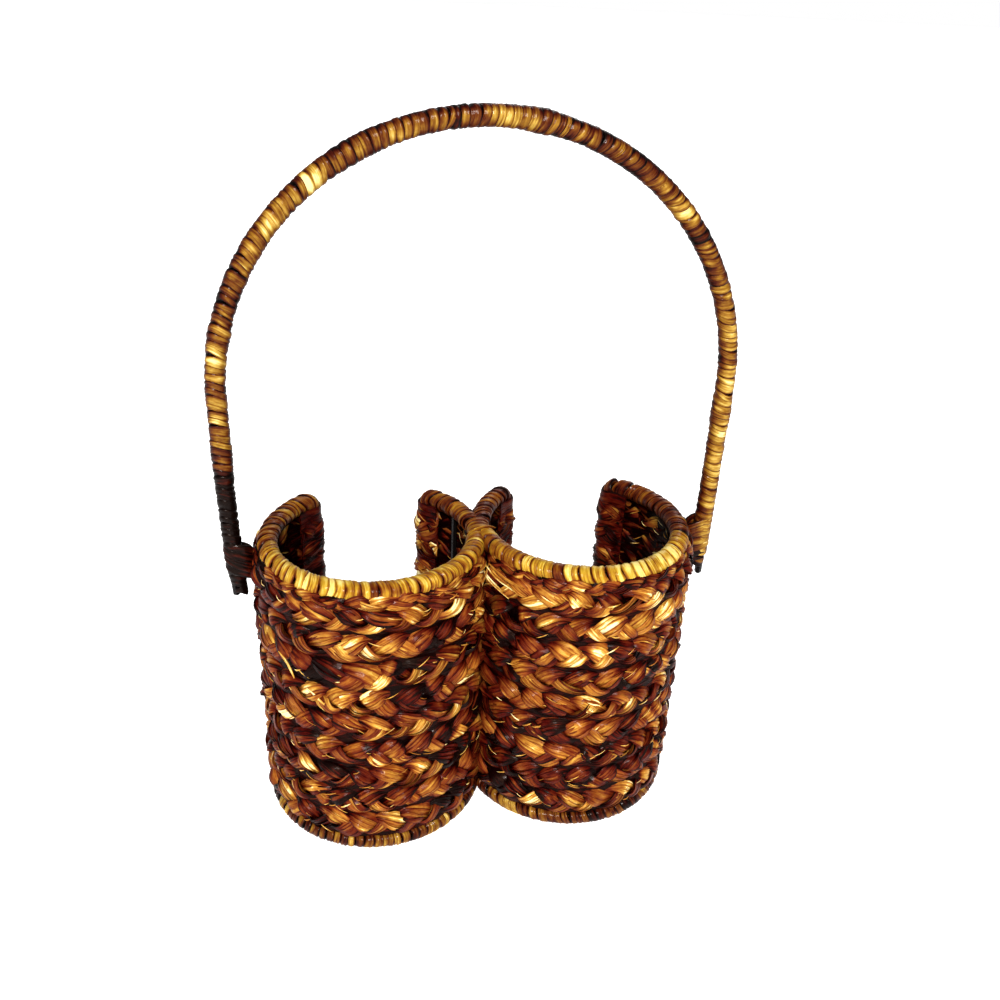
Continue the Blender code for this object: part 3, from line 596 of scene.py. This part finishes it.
def wind(leaves, route, rng, pitch, half_width, half_depth, tones, hand=1, swell=None,
         strip_depth=0.0009, start=0.0, end=None, overlap=1.30, skew=0.0012, boxy=1.0,
         wander_share=0.30, ridge_choice=(1.0, 1.5, 2.0, 2.5, 3.0), shade=None,
         slant_from=math.pi / 4, noise=0.07, groove_shade=0.34):
    """Leaf turns wound in one helix round an oval core along a route.

    half_width and half_depth are the outer half sizes, as numbers or as
    functions of the place. skew slants the turns, highest at the turn
    slant_from. boxy below 1 squares the oval and groove_shade darkens the leaf's
    edges as painted shade in the grooves between turns. shade gives the added
    tone for the cosine and sine of the turn and its place; on the rims and the
    handle it is painted light and shade.
    """
    end = route.length if end is None else end
    turns = (end - start) / pitch
    count = max(8, int(turns * 2 * math.pi / TURN_STEP))
    number = np.linspace(0.0, turns, count)
    angle = hand * 2 * math.pi * number
    tip = np.clip(2 * np.minimum(number, turns - number), 0.0, 1.0)
    wander = wander_share * noise_along(number, 1.0, rng) * tip
    slant = skew * np.cos(angle - slant_from) * (1 + 0.5 * noise_along(number, 2.0, rng))
    plain = start + (number + wander) * pitch
    places = np.clip(plain + slant * tip, start, end)
    spacing = np.interp(number + 0.5, number, plain) - np.interp(number - 0.5, number, plain)
    point, outward, up = route.at(places)
    whole = np.floor(number + (0.25 if hand > 0 else 0.75)).astype(int)
    count_whole = whole.max() + 2
    fat = 1.0 + 0.03 * rng.uniform(-1, 1, count_whole)[whole]
    if swell is not None:
        fat = fat * swell(places)
    wide = (half_width(places) if callable(half_width) else half_width) - strip_depth
    deep = (half_depth(places) if callable(half_depth) else half_depth) - strip_depth
    sunk = 0.12 * (1 - np.clip(np.minimum(number, turns - number) * 3, 0.0, 1.0))
    wide = np.broadcast_to(wide, count) * (fat - sunk)
    deep = np.broadcast_to(deep, count) * (fat - sunk)
    turn_tone = np.array([tones(start + n * pitch, rng) for n in range(count_whole)])
    cosine = np.cos(angle)
    sine = np.sin(angle)
    tone = turn_tone[whole] + noise * noise_along(number, 0.12, rng)
    if shade is not None:
        tone = tone + shade(cosine, sine, places)
    sideways = np.sign(cosine) * np.abs(cosine) ** boxy
    upwards = np.sign(sine) * np.abs(sine) ** boxy
    centre = point + outward * (sideways * wide)[:, None] + up * (upwards * deep)[:, None]
    normal = unit(outward * (cosine / wide)[:, None] + up * (sine / deep)[:, None])
    run = unit(np.gradient(centre, axis=0))
    across = unit(np.cross(normal, run))
    normal = unit(np.cross(run, across))
    lean = math.radians(6.0) + math.radians(5.0) * noise_along(number, 1.0, rng)
    leaned = across * np.cos(lean)[:, None] + normal * np.sin(lean)[:, None]
    face = normal * np.cos(lean)[:, None] - across * np.sin(lean)[:, None]
    width = np.maximum(spacing, 0.4 * pitch) * overlap / 2
    taper = np.clip(np.minimum(number, turns - number) * 4, 0.1, 1.0)
    leaves.strip(centre, leaned, face, width * taper, np.full(count, strip_depth), tone, rng,
                 ridges=rng.choice(ridge_choice, count_whole)[whole], ridge_depth=0.45,
                 sides=(11, 3), edge_shade=groove_shade, seed=rng.uniform(0, 90, count_whole)[whole])


def rim_route(holder, post, joint):
    """Rim line from inside the plait on the slot post, over its bend, to the joint."""
    sense = math.copysign(1.0, joint - post)
    foot = np.linspace(TIP_REACH, 0.0, 6, endpoint=False)
    turns = np.linspace(0.0, math.pi / 2, 10, endpoint=False)
    level = post + sense * CORNER_RADIUS / RING_RADIUS
    angles = np.concatenate((np.full(6, post),
                             post + sense * CORNER_RADIUS * (1 - np.cos(turns)) / RING_RADIUS,
                             np.linspace(level, joint, 80)))
    heights = np.concatenate((RIM_HEIGHT - CORNER_RADIUS - foot,
                              RIM_HEIGHT - CORNER_RADIUS * (1 - np.sin(turns)),
                              np.full(80, RIM_HEIGHT)))
    tilts = np.concatenate((np.full(6, math.pi / 2), math.pi / 2 - turns, np.zeros(80)))
    points = holder.place(RING_RADIUS * np.cos(angles), RING_RADIUS * np.sin(angles), heights)
    forward = holder.heading(-np.sin(angles), np.cos(angles))
    up = UP * np.cos(tilts)[:, None] - forward * sense * np.sin(tilts)[:, None]
    return Route(points, holder.heading(np.cos(angles), np.sin(angles)), up)


def wrap_reach(node):
    low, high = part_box(node)
    return (high[1] - low[1]) / 2 + CLEAR


def build_rims(holder, leaf):
    reach = math.asin(JOINT_REACH / RING_RADIUS)
    angles, tones_there = zip(*RIM_TONES_AND_LIGHT[holder.name])

    def front_tone(place, rng):
        angle = math.degrees(FIRST_POST + (place - TIP_REACH) / RING_RADIUS)
        if abs(angle - RIM_SEAMS[holder.name]) < 2.3:
            return SEAM_TONE
        return float(np.clip(rng.normal(np.interp(angle, angles, tones_there), 0.07), 0.05, 1.0))

    # The back turns are darker than the front ones, partly as painted shade
    def back_tone(place, rng):
        return float(np.clip(rng.normal(0.44, 0.09), 0.05, 1.0))

    # Painted light: turns paler on top, darker underneath
    def shade(cosine, sine, places):
        return 0.07 * sine - 0.02

    for number, suffix, post, joint, tones in (
            (20, "front", FIRST_POST, 2 * math.pi - reach, front_tone),
            (21, "back", LAST_POST, 2 * math.pi + reach, back_tone)):
        leaves = Leaves()
        hand = 1 if (holder.side > 0) == (suffix == "front") else -1
        wind(leaves, rim_route(holder, post, joint), holder.rng(number), RIM_TURN_PITCH,
             RIM_OUTER_RADIUS, RIM_OUTER_RADIUS, tones, hand=hand, shade=shade,
             strip_depth=0.0013, skew=0.0024, groove_shade=0.60, noise=0.09, overlap=1.18)
        leaves.piece("%s_rim_turns_%s" % (holder.name, suffix), leaf,
                     ["%s_rim_wrap_%s" % (holder.name, suffix)])


def build_base(holder, leaf):
    reach = math.asin(wrap_reach("base_joint_wrap") / BASE_CIRCLE)
    angles = np.linspace(reach, 2 * math.pi - reach, 120)
    points = holder.place(BASE_CIRCLE * np.cos(angles), BASE_CIRCLE * np.sin(angles), BASE_HEIGHT)
    route = Route(points, holder.heading(np.cos(angles), np.sin(angles)),
                  np.broadcast_to(UP, points.shape))

    def tone(place, rng):
        return float(np.clip(rng.normal(0.42, 0.15), 0.05, 1.0))

    leaves = Leaves()
    wind(leaves, route, holder.rng(30), BASE_TURN_PITCH, BASE_HALF_WIDTH, BASE_HALF_HEIGHT,
         tone, hand=holder.side, boxy=0.85, noise=0.16, strip_depth=0.0011, skew=0.0020,
         groove_shade=0.60, overlap=1.12)
    leaves.piece(holder.name + "_base_turns", leaf, [holder.name + "_base_wrap"])


def mat_route(holder):
    """Spiral of the bottom plait from its eye out to a last full round at the base wrap."""
    growth = MAT_PITCH / (2 * math.pi)
    last = MAT_OUTER_CIRCLE / growth + 2 * math.pi
    turns = np.arange(math.radians(100.0), last, math.radians(6.0))
    radii = np.minimum(growth * turns, MAT_OUTER_CIRCLE)
    points = holder.place(radii * np.cos(turns), radii * np.sin(turns), MAT_HEIGHT)
    along = unit(np.gradient(points, axis=0))
    above = np.broadcast_to(UP, points.shape)
    return Route(points, above, unit(np.cross(above, along)))


def build_mat(holder, leaf):
    def tone(share, rng):
        return float(np.clip(rng.normal(0.45, 0.16), 0.05, 1.0))

    rng = holder.rng(40)
    route = mat_route(holder)
    leaves = Leaves()
    backing(leaves, route, rng, -MAT_BACKING_REACH, MAT_BACKING_REACH, 0.0)
    plait(leaves, route, rng, tone, sway=0.0044, swing=0.0009, half_depth=0.0008,
          half_width=0.0042, repeat=0.038, ease=0.012, under_shade=0.1, step=MAT_STEP)
    eye = holder.place(np.linspace(-MAT_EYE_REACH, MAT_EYE_REACH, 20), 0.0, MAT_HEIGHT)
    across = Route(eye, np.broadcast_to(UP, eye.shape), np.broadcast_to(ALONG_Y, eye.shape))
    backing(leaves, across, rng, -MAT_EYE_REACH, MAT_EYE_REACH, 0.0)
    leaves.piece(holder.name + "_mat_plait", leaf, [holder.name + "_base_mat"])


def leg_x(side, heights):
    """Distance of the handle's line from the middle plane in a leg."""
    amount = LEFT_LEAN if side < 0 else RIGHT_LEAN
    drop = np.clip(LEAN_TOP - heights, 0.0, None) / (LEAN_TOP - LEAN_FOOT)
    return HANDLE_HALF_SPAN - amount * drop ** 2


def handle_route():
    """The handle's line from its left foot over the arch to its right foot."""
    rise = np.linspace(LEAN_FOOT, HANDLE_SPRING, 40, endpoint=False)
    turns = np.linspace(math.pi, 0.0, 180)
    arch = np.stack((HANDLE_HALF_SPAN * np.cos(turns), np.zeros_like(turns),
                     HANDLE_SPRING + HANDLE_HALF_SPAN * np.sin(turns)), axis=1)
    left, right = (np.stack((side * leg_x(side, rise), np.zeros_like(rise), rise), axis=1)
                   for side in (-1, 1))
    points = np.concatenate((left, arch, right[::-1]))
    ahead = unit(np.gradient(points, axis=0))
    depth = np.broadcast_to(-ALONG_Y, points.shape)
    return Route(points, np.cross(depth, ahead), depth)


# Thick spots of the handle: place along it, half length and added share
HANDLE_KNOTS = ((0.130, 0.005, 0.14), (0.155, 0.010, 0.04), (0.228, 0.012, 0.13),
                (0.306, 0.007, 0.14), (0.489, 0.006, 0.12), (0.074, 0.008, 0.06))


def handle_swell(places):
    """Share of the handle's plain thickness: knots, a thin black leg and tapered feet."""
    swell = np.ones_like(places)
    for place, reach, share in HANDLE_KNOTS:
        swell = swell + share * np.exp(-((places - place) / reach) ** 2)
    swell = swell * (1 - 0.08 * (1 - smooth_step(places, 0.055, 0.070)))
    swell = swell * (1 - 0.20 * (1 - smooth_step(places, 0.004, 0.013)))
    length = places.max()
    return swell * (1 - 0.30 * smooth_step(places, length - 0.009, length))


def build_handle(leaf):
    places, tones_there = zip(*HANDLE_TONES)

    def tone(place, rng):
        middle = float(np.interp(place, places, tones_there))
        spread = 0.08 * smooth_step(middle, 0.05, 0.3)
        return float(np.clip(rng.normal(middle, spread), -0.15, 1.0))

    # Painted light and shade: turns paler at the front, darker at the sides and round the back
    def shade(cosine, sine, places):
        return 0.16 * sine - 0.09 - 0.30 * np.abs(cosine) ** 3

    route = handle_route()
    leaves = Leaves()
    wind(leaves, route, np.random.default_rng(77), HANDLE_TURN_PITCH, HANDLE_HALF_WIDTH,
         HANDLE_HALF_DEPTH, tone, hand=1, start=0.0012, swell=handle_swell, skew=0.0024,
         shade=shade, noise=0.14, strip_depth=0.0009, groove_shade=0.65, overlap=1.24)
    leaves.piece("handle_turns", leaf, ["handle_wrap"])


def build_lashings(leaf):
    """Turns round each leg and the wall below the rim."""
    for name, side, bottom, seed in (("left", -1, LEFT_LASHING_BOTTOM, 5),
                                     ("right", 1, RIGHT_LASHING_BOTTOM, 6)):
        heights = np.linspace(bottom, LASHING_TOP, 30)
        far = leg_x(side, heights) + HANDLE_HALF_WIDTH
        points = np.stack((side * (far + LASHING_SEAT) / 2, np.zeros(30), heights), axis=1)
        route = Route(points, np.broadcast_to(ALONG_X * side, points.shape),
                      np.broadcast_to(-ALONG_Y, points.shape))

        def half_width(places):
            return np.interp(places, route.places, (far - LASHING_SEAT) / 2)

        def tone(place, rng):
            return float(np.clip(rng.normal(0.02 if side < 0 else 0.20, 0.04), 0.0, 1.0))

        def shade(cosine, sine, places):
            if side < 0:
                return 0.10 * smooth_step(-cosine, 0.1, 0.9)
            return (0.42 * smooth_step(cosine, -0.4, 0.1) * smooth_step(places, 0.005, 0.010)
                    - 0.20 * (1 - smooth_step(places, 0.004, 0.008)))

        # Whole turns, so that both ends of the leaf lie on the leg
        pitch = route.length / round(route.length / LASHING_TURN_PITCH)
        leaves = Leaves()
        wind(leaves, route, np.random.default_rng(seed), pitch, half_width,
             LASHING_HALF_DEPTH, tone, hand=side, boxy=0.8, skew=0.0024, slant_from=0.0,
             shade=shade, groove_shade=0.5, overlap=1.2)
        leaves.piece(name + "_lashing_turns", leaf, [name + "_side_lashing"])


def wire_offset(y):
    """X of a ring wire's centre from the joint's middle plane."""
    return HALF_SPACING - np.sqrt(RING_RADIUS ** 2 - y ** 2)


def build_joints(leaf):
    """Turns round both rings where the holders touch."""
    for name, node, height, middle, end_size, half_height, pitch, reach in (
            ("rim_joint_turns", "rim_joint_wrap", RIM_HEIGHT, 0.0034, 0.0049, 0.0046, 0.0030,
             JOINT_REACH),
            ("base_joint_turns", "base_joint_wrap", BASE_HEIGHT, 0.0030, 0.0030, 0.0040, 0.0042,
             wrap_reach("base_joint_wrap") - CLEAR)):
        far = wrap_reach(node) - CLEAR
        ys = np.linspace(-reach, reach, 60)
        points = np.stack((np.zeros(60), ys, np.full(60, height)), axis=1)
        route = Route(points, np.broadcast_to(ALONG_X, points.shape),
                      np.broadcast_to(UP, points.shape))

        def half_width(places):
            y = places - reach
            share = np.abs(y) / far
            return wire_offset(y) + middle * (1 - share) + end_size * share

        def tone(place, rng):
            back = smooth_step(place, 0.9 * reach, 1.6 * reach)
            return float(np.clip(rng.normal(0.52 - 0.14 * back, 0.06), 0.05, 1.0))

        leaves = Leaves()
        wind(leaves, route, np.random.default_rng(9), pitch, half_width, half_height, tone,
             boxy=0.8, skew=0.0010)
        leaves.piece(name, leaf, [node])


def smooth_line(points, count):
    """Places along a smooth curve through a few chosen points."""
    points = np.asarray(points, float)
    padded = np.concatenate((2 * points[:1] - points[1:2], points,
                             2 * points[-1:] - points[-2:-1]))
    share = np.linspace(0.0, len(points) - 1.0001, count)
    index = share.astype(int)
    rest = (share - index)[:, None]
    first, second, third, fourth = (padded[index + step] for step in range(4))
    return 0.5 * (2 * second + (third - first) * rest
                  + (2 * first - 5 * second + 4 * third - fourth) * rest ** 2
                  + (3 * second - first - 3 * third + fourth) * rest ** 3)


def lay(leaves, points, outward, half_width, tone, rng, half_depth=0.0004):
    """One leaf strip along a smooth curve, pointed at both ends."""
    stations = 24
    centre = smooth_line(points, stations)
    face = unit(smooth_line(outward, stations))
    run = unit(np.gradient(centre, axis=0))
    share = np.linspace(0.0, 1.0, stations)
    width = half_width * np.sin(math.pi * (0.06 + 0.88 * share)) ** 0.7
    leaves.strip(centre, unit(np.cross(run, face)), face, width, np.full(stations, half_depth),
                 np.full(stations, tone), rng, ridges=1.5, sides=(7, 3), edge_shade=0.1)


# Loose strands on the walls: holder, degrees and height of points along it, half width, tone
LOOSE_STRANDS = (
    ("left", ((327.0, 0.1385), (334.0, 0.1420), (341.0, 0.1450)), 0.0016, 0.90),
    ("left", ((322.0, 0.1372), (328.0, 0.1400), (334.0, 0.1425)), 0.0011, 0.74),
    ("right", ((342.0, 0.1440), (334.0, 0.1400), (323.0, 0.1362)), 0.0003, 1.00),
    ("right", ((340.0, 0.1415), (331.0, 0.1375), (319.0, 0.1340)), 0.0003, 0.98),
    ("right", ((337.0, 0.1455), (327.0, 0.1415), (315.0, 0.1390)), 0.0003, 1.00),
    ("right", ((333.0, 0.1470), (322.0, 0.1440), (311.0, 0.1425)), 0.0009, 0.72),
    ("left", ((233.0, 0.0985), (238.0, 0.0950), (242.0, 0.0915)), 0.0009, 0.98),
    ("left", ((216.0, 0.1115), (222.0, 0.1075), (226.0, 0.1010)), 0.0010, 0.86))

# Strands that cross the front end of the rim's joint: points, half width, tone
CROSSING_STRANDS = (
    (((-0.0060, -0.0066, 0.1532), (-0.0015, -0.0072, 0.1556), (0.0035, -0.0062, 0.1558),
      (0.0074, -0.0042, 0.1536)), 0.0008, 0.62),)


def build_strands(holders, wall_leaf, rim_leaf):
    rng = np.random.default_rng(21)
    leaves = Leaves()
    for name, route, half_width, tone in LOOSE_STRANDS:
        angles = np.radians([angle for angle, height in route])
        heights = np.array([height for angle, height in route])
        radius = TRACK_RADIUS + 0.0034
        points = holders[name].place(radius * np.cos(angles), radius * np.sin(angles), heights)
        outward = holders[name].heading(np.cos(angles), np.sin(angles))
        lay(leaves, points, outward, half_width, tone, rng)
    leaves.piece("loose_strands", wall_leaf)
    leaves = Leaves()
    for points, half_width, tone in CROSSING_STRANDS:
        middle = np.array((0.0, 0.0, RIM_HEIGHT))
        outward = (np.asarray(points) - middle) * (1.0, 0.0, 1.0)
        lay(leaves, points, outward, half_width, tone, rng, half_depth=0.0007)
    leaves.piece("crossing_strands", rim_leaf)


def shader_node(tree, kind, place, **values):
    made = tree.nodes.new(kind)
    made.location = place
    for key, value in values.items():
        setattr(made, key, value)
    return made


def stretched_noise(tree, vector, scale, detail, place):
    """Noise drawn out along the leaf's fibre."""
    stretch = shader_node(tree, "ShaderNodeMapping", place)
    stretch.inputs["Scale"].default_value = scale
    noise = shader_node(tree, "ShaderNodeTexNoise", (place[0] + 200, place[1]))
    noise.inputs["Scale"].default_value = 1.0
    noise.inputs["Detail"].default_value = detail
    noise.inputs["Roughness"].default_value = 0.62
    tree.links.new(vector, stretch.inputs["Vector"])
    tree.links.new(stretch.outputs["Vector"], noise.inputs["Vector"])
    return noise.outputs["Fac"]


def maths(tree, operation, first, second, place):
    made = shader_node(tree, "ShaderNodeMath", place, operation=operation)
    for socket, value in zip(made.inputs, (first, second)):
        if isinstance(value, float):
            socket.default_value = value
        else:
            tree.links.new(value, socket)
    return made.outputs["Value"]


def colour_ramp(tree, stops, factor, place):
    ramp = shader_node(tree, "ShaderNodeValToRGB", place)
    while len(ramp.color_ramp.elements) < len(stops):
        ramp.color_ramp.elements.new(0.5)
    for element, (where, colour) in zip(ramp.color_ramp.elements, stops):
        element.position = where
        element.color = colour + (1.0,)
    tree.links.new(factor, ramp.inputs["Fac"])
    return ramp.outputs["Color"]


def leaf_material(name, stops, roughness=0.42, streak_share=0.60, blotch_share=0.60,
                  rust_share=0.55, coat=0.06):
    """Dyed and varnished leaf: streaks along the fibre over the tone attribute,
    which holds the leaf's own tone with painted light and shade.

    Each leaf's own number turns its dye from gold towards rust.
    """
    material = bpy.data.materials.new(name)
    material.use_nodes = True
    tree = material.node_tree
    shader = tree.nodes["Principled BSDF"]
    fibre = shader_node(tree, "ShaderNodeAttribute", (-1500, 0), attribute_name="fibre")
    tone = shader_node(tree, "ShaderNodeAttribute", (-1500, 300), attribute_name="tone")
    streak = stretched_noise(tree, fibre.outputs["Vector"], (1.9, 0.13, 1.0), 4.0, (-1300, 0))
    blotch = stretched_noise(tree, fibre.outputs["Vector"], (0.35, 0.16, 1.0), 2.0, (-1300, -400))
    streaked = maths(tree, "MULTIPLY", maths(tree, "SUBTRACT", streak, 0.5, (-800, 0)),
                     streak_share, (-650, 0))
    blotched = maths(tree, "MULTIPLY", maths(tree, "SUBTRACT", blotch, 0.5, (-800, -400)),
                     blotch_share, (-650, -400))
    total = maths(tree, "ADD", maths(tree, "ADD", tone.outputs["Fac"], streaked, (-500, 100)),
                  blotched, (-350, 0))
    own = shader_node(tree, "ShaderNodeSeparateXYZ", (-1300, -800))
    tree.links.new(fibre.outputs["Vector"], own.inputs["Vector"])
    dye = shader_node(tree, "ShaderNodeTexWhiteNoise", (-1100, -800), noise_dimensions="1D")
    tree.links.new(own.outputs["Z"], dye.inputs["W"])
    rust = maths(tree, "MULTIPLY", dye.outputs["Value"], rust_share, (-900, -800))
    mixed = shader_node(tree, "ShaderNodeMix", (0, 100), data_type="RGBA")
    tree.links.new(rust, mixed.inputs["Factor"])
    tree.links.new(colour_ramp(tree, stops, total, (-250, 200)), mixed.inputs["A"])
    tree.links.new(colour_ramp(tree, RUST_STOPS, total, (-250, -50)), mixed.inputs["B"])
    tree.links.new(mixed.outputs["Result"], shader.inputs["Base Color"])
    shader.inputs["Roughness"].default_value = roughness
    shader.inputs["Specular IOR Level"].default_value = 0.13
    shader.inputs["Specular Tint"].default_value = (1.0, 0.62, 0.42, 1.0)
    shader.inputs["Coat Weight"].default_value = coat
    shader.inputs["Coat Roughness"].default_value = 0.12
    bump = shader_node(tree, "ShaderNodeBump", (-200, -500))
    bump.inputs["Strength"].default_value = 0.9
    bump.inputs["Distance"].default_value = 0.0003
    tree.links.new(streak, bump.inputs["Height"])
    tree.links.new(bump.outputs["Normal"], shader.inputs["Normal"])
    return material


def wire_material():
    material = bpy.data.materials.new("black_wire_paint")
    material.use_nodes = True
    tree = material.node_tree
    shader = tree.nodes["Principled BSDF"]
    place = shader_node(tree, "ShaderNodeTexCoord", (-900, 0))
    speck = shader_node(tree, "ShaderNodeTexNoise", (-700, 0))
    speck.inputs["Scale"].default_value = 900.0
    speck.inputs["Detail"].default_value = 3.0
    tree.links.new(place.outputs["Object"], speck.inputs["Vector"])
    ramp = shader_node(tree, "ShaderNodeValToRGB", (-450, 0))
    ramp.color_ramp.elements[0].color = (0.002, 0.0015, 0.0015, 1.0)
    ramp.color_ramp.elements[1].color = (0.010, 0.007, 0.006, 1.0)
    tree.links.new(speck.outputs["Fac"], ramp.inputs["Fac"])
    tree.links.new(ramp.outputs["Color"], shader.inputs["Base Color"])
    shader.inputs["Roughness"].default_value = 0.20
    shader.inputs["Specular IOR Level"].default_value = 0.22
    bump = shader_node(tree, "ShaderNodeBump", (-450, -300))
    bump.inputs["Strength"].default_value = 0.25
    bump.inputs["Distance"].default_value = 0.0002
    tree.links.new(speck.outputs["Fac"], bump.inputs["Height"])
    tree.links.new(bump.outputs["Normal"], shader.inputs["Normal"])
    return material


def make_camera():
    data = bpy.data.cameras.new("camera")
    data.sensor_width = SENSOR_MM
    data.lens = FOCAL_PIXELS / IMAGE_PIXELS * SENSOR_MM
    data.clip_start = 0.01
    data.clip_end = 200.0
    camera = bpy.data.objects.new("camera", data)
    turn = (Matrix.Rotation(-CAMERA_YAW, 4, "Z")
            @ Matrix.Rotation(math.pi / 2 - CAMERA_PITCH, 4, "X")
            @ Matrix.Rotation(-CAMERA_ROLL, 4, "Z"))
    camera.matrix_world = Matrix.Translation(CAMERA_PLACE) @ turn
    bpy.context.collection.objects.link(camera)
    bpy.context.scene.camera = camera


def make_light(name, kind, place, target, energy, size):
    data = bpy.data.lights.new(name, kind)
    data.energy = energy
    if kind == "SUN":
        data.angle = size
    else:
        data.shape = "DISK"
        data.size = size
    light = bpy.data.objects.new(name, data)
    light.location = place
    light.rotation_mode = "QUATERNION"
    light.rotation_quaternion = (Vector(target) - Vector(place)).to_track_quat("-Z", "Y")
    bpy.context.collection.objects.link(light)


def make_world():
    """Even studio light, white along the horizon."""
    world = bpy.data.worlds.new("studio")
    world.use_nodes = True
    tree = world.node_tree
    background = tree.nodes["Background"]
    way = shader_node(tree, "ShaderNodeTexCoord", (-800, 0))
    parts = shader_node(tree, "ShaderNodeSeparateXYZ", (-600, 0))
    ramp = shader_node(tree, "ShaderNodeValToRGB", (-400, 0))
    ramp.color_ramp.elements[0].position = 0.05
    ramp.color_ramp.elements[0].color = (1.0, 1.0, 1.0, 1.0)
    ramp.color_ramp.elements[1].position = 0.14
    ramp.color_ramp.elements[1].color = (0.34, 0.34, 0.34, 1.0)
    tree.links.new(way.outputs["Generated"], parts.inputs["Vector"])
    tree.links.new(parts.outputs["Z"], ramp.inputs["Fac"])
    tree.links.new(ramp.outputs["Color"], background.inputs["Color"])
    background.inputs["Strength"].default_value = 1.0
    bpy.context.scene.world = world


def make_stage():
    mesh = bpy.data.meshes.new("floor")
    half = 60.0
    mesh.from_pydata([(-half, -half, 0), (half, -half, 0), (half, half, 0), (-half, half, 0)],
                     [], [(0, 1, 2, 3)])
    floor = bpy.data.objects.new("floor", mesh)
    bpy.context.collection.objects.link(floor)
    material = bpy.data.materials.new("floor_paint")
    material.use_nodes = True
    shader = material.node_tree.nodes["Principled BSDF"]
    shader.inputs["Base Color"].default_value = (0.93, 0.93, 0.93, 1.0)
    shader.inputs["Emission Color"].default_value = (1.0, 1.0, 1.0, 1.0)
    shader.inputs["Emission Strength"].default_value = 0.40
    shader.inputs["Roughness"].default_value = 0.9
    shader.inputs["Specular IOR Level"].default_value = 0.1
    mesh.materials.append(material)
    make_world()
    target = (0.0, 0.0, 0.12)
    make_light("key", "SUN", (-0.25, -1.2, 1.05), target, 3.7, math.radians(20.0))
    make_light("back", "SUN", (0.6, 1.2, 0.9), target, 0.9, math.radians(30.0))
    make_light("glint", "AREA", (-0.10, -1.0, 0.75), target, 4.8, 0.09)
    bpy.context.scene.view_settings.view_transform = "Standard"
    bpy.context.scene.view_settings.gamma = 0.84


def main():
    make_camera()
    make_stage()
    wall_leaf = leaf_material("wall_leaf", WALL_STOPS)
    rim_leaf = leaf_material("rim_leaf", RIM_STOPS, streak_share=0.6, rust_share=0.22,
                             coat=0.14)
    handle_leaf = leaf_material("handle_leaf", AMBER_STOPS, streak_share=0.6, rust_share=0.12,
                                coat=0.16)
    wire = wire_material()
    for name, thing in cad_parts.items():
        if "ring" in name or "stake" in name or "wire" in name:
            thing.data.materials.clear()
            thing.data.materials.append(wire)
    holders = {"left": Holder("left", -1, 3), "right": Holder("right", 1, 8)}
    for holder in holders.values():
        build_walls(holder, wall_leaf)
        build_collar(holder, wall_leaf)
        build_rims(holder, rim_leaf)
        build_base(holder, handle_leaf)
        build_mat(holder, wall_leaf)
    build_handle(handle_leaf)
    build_lashings(handle_leaf)
    build_joints(rim_leaf)
    build_strands(holders, wall_leaf, rim_leaf)


main()
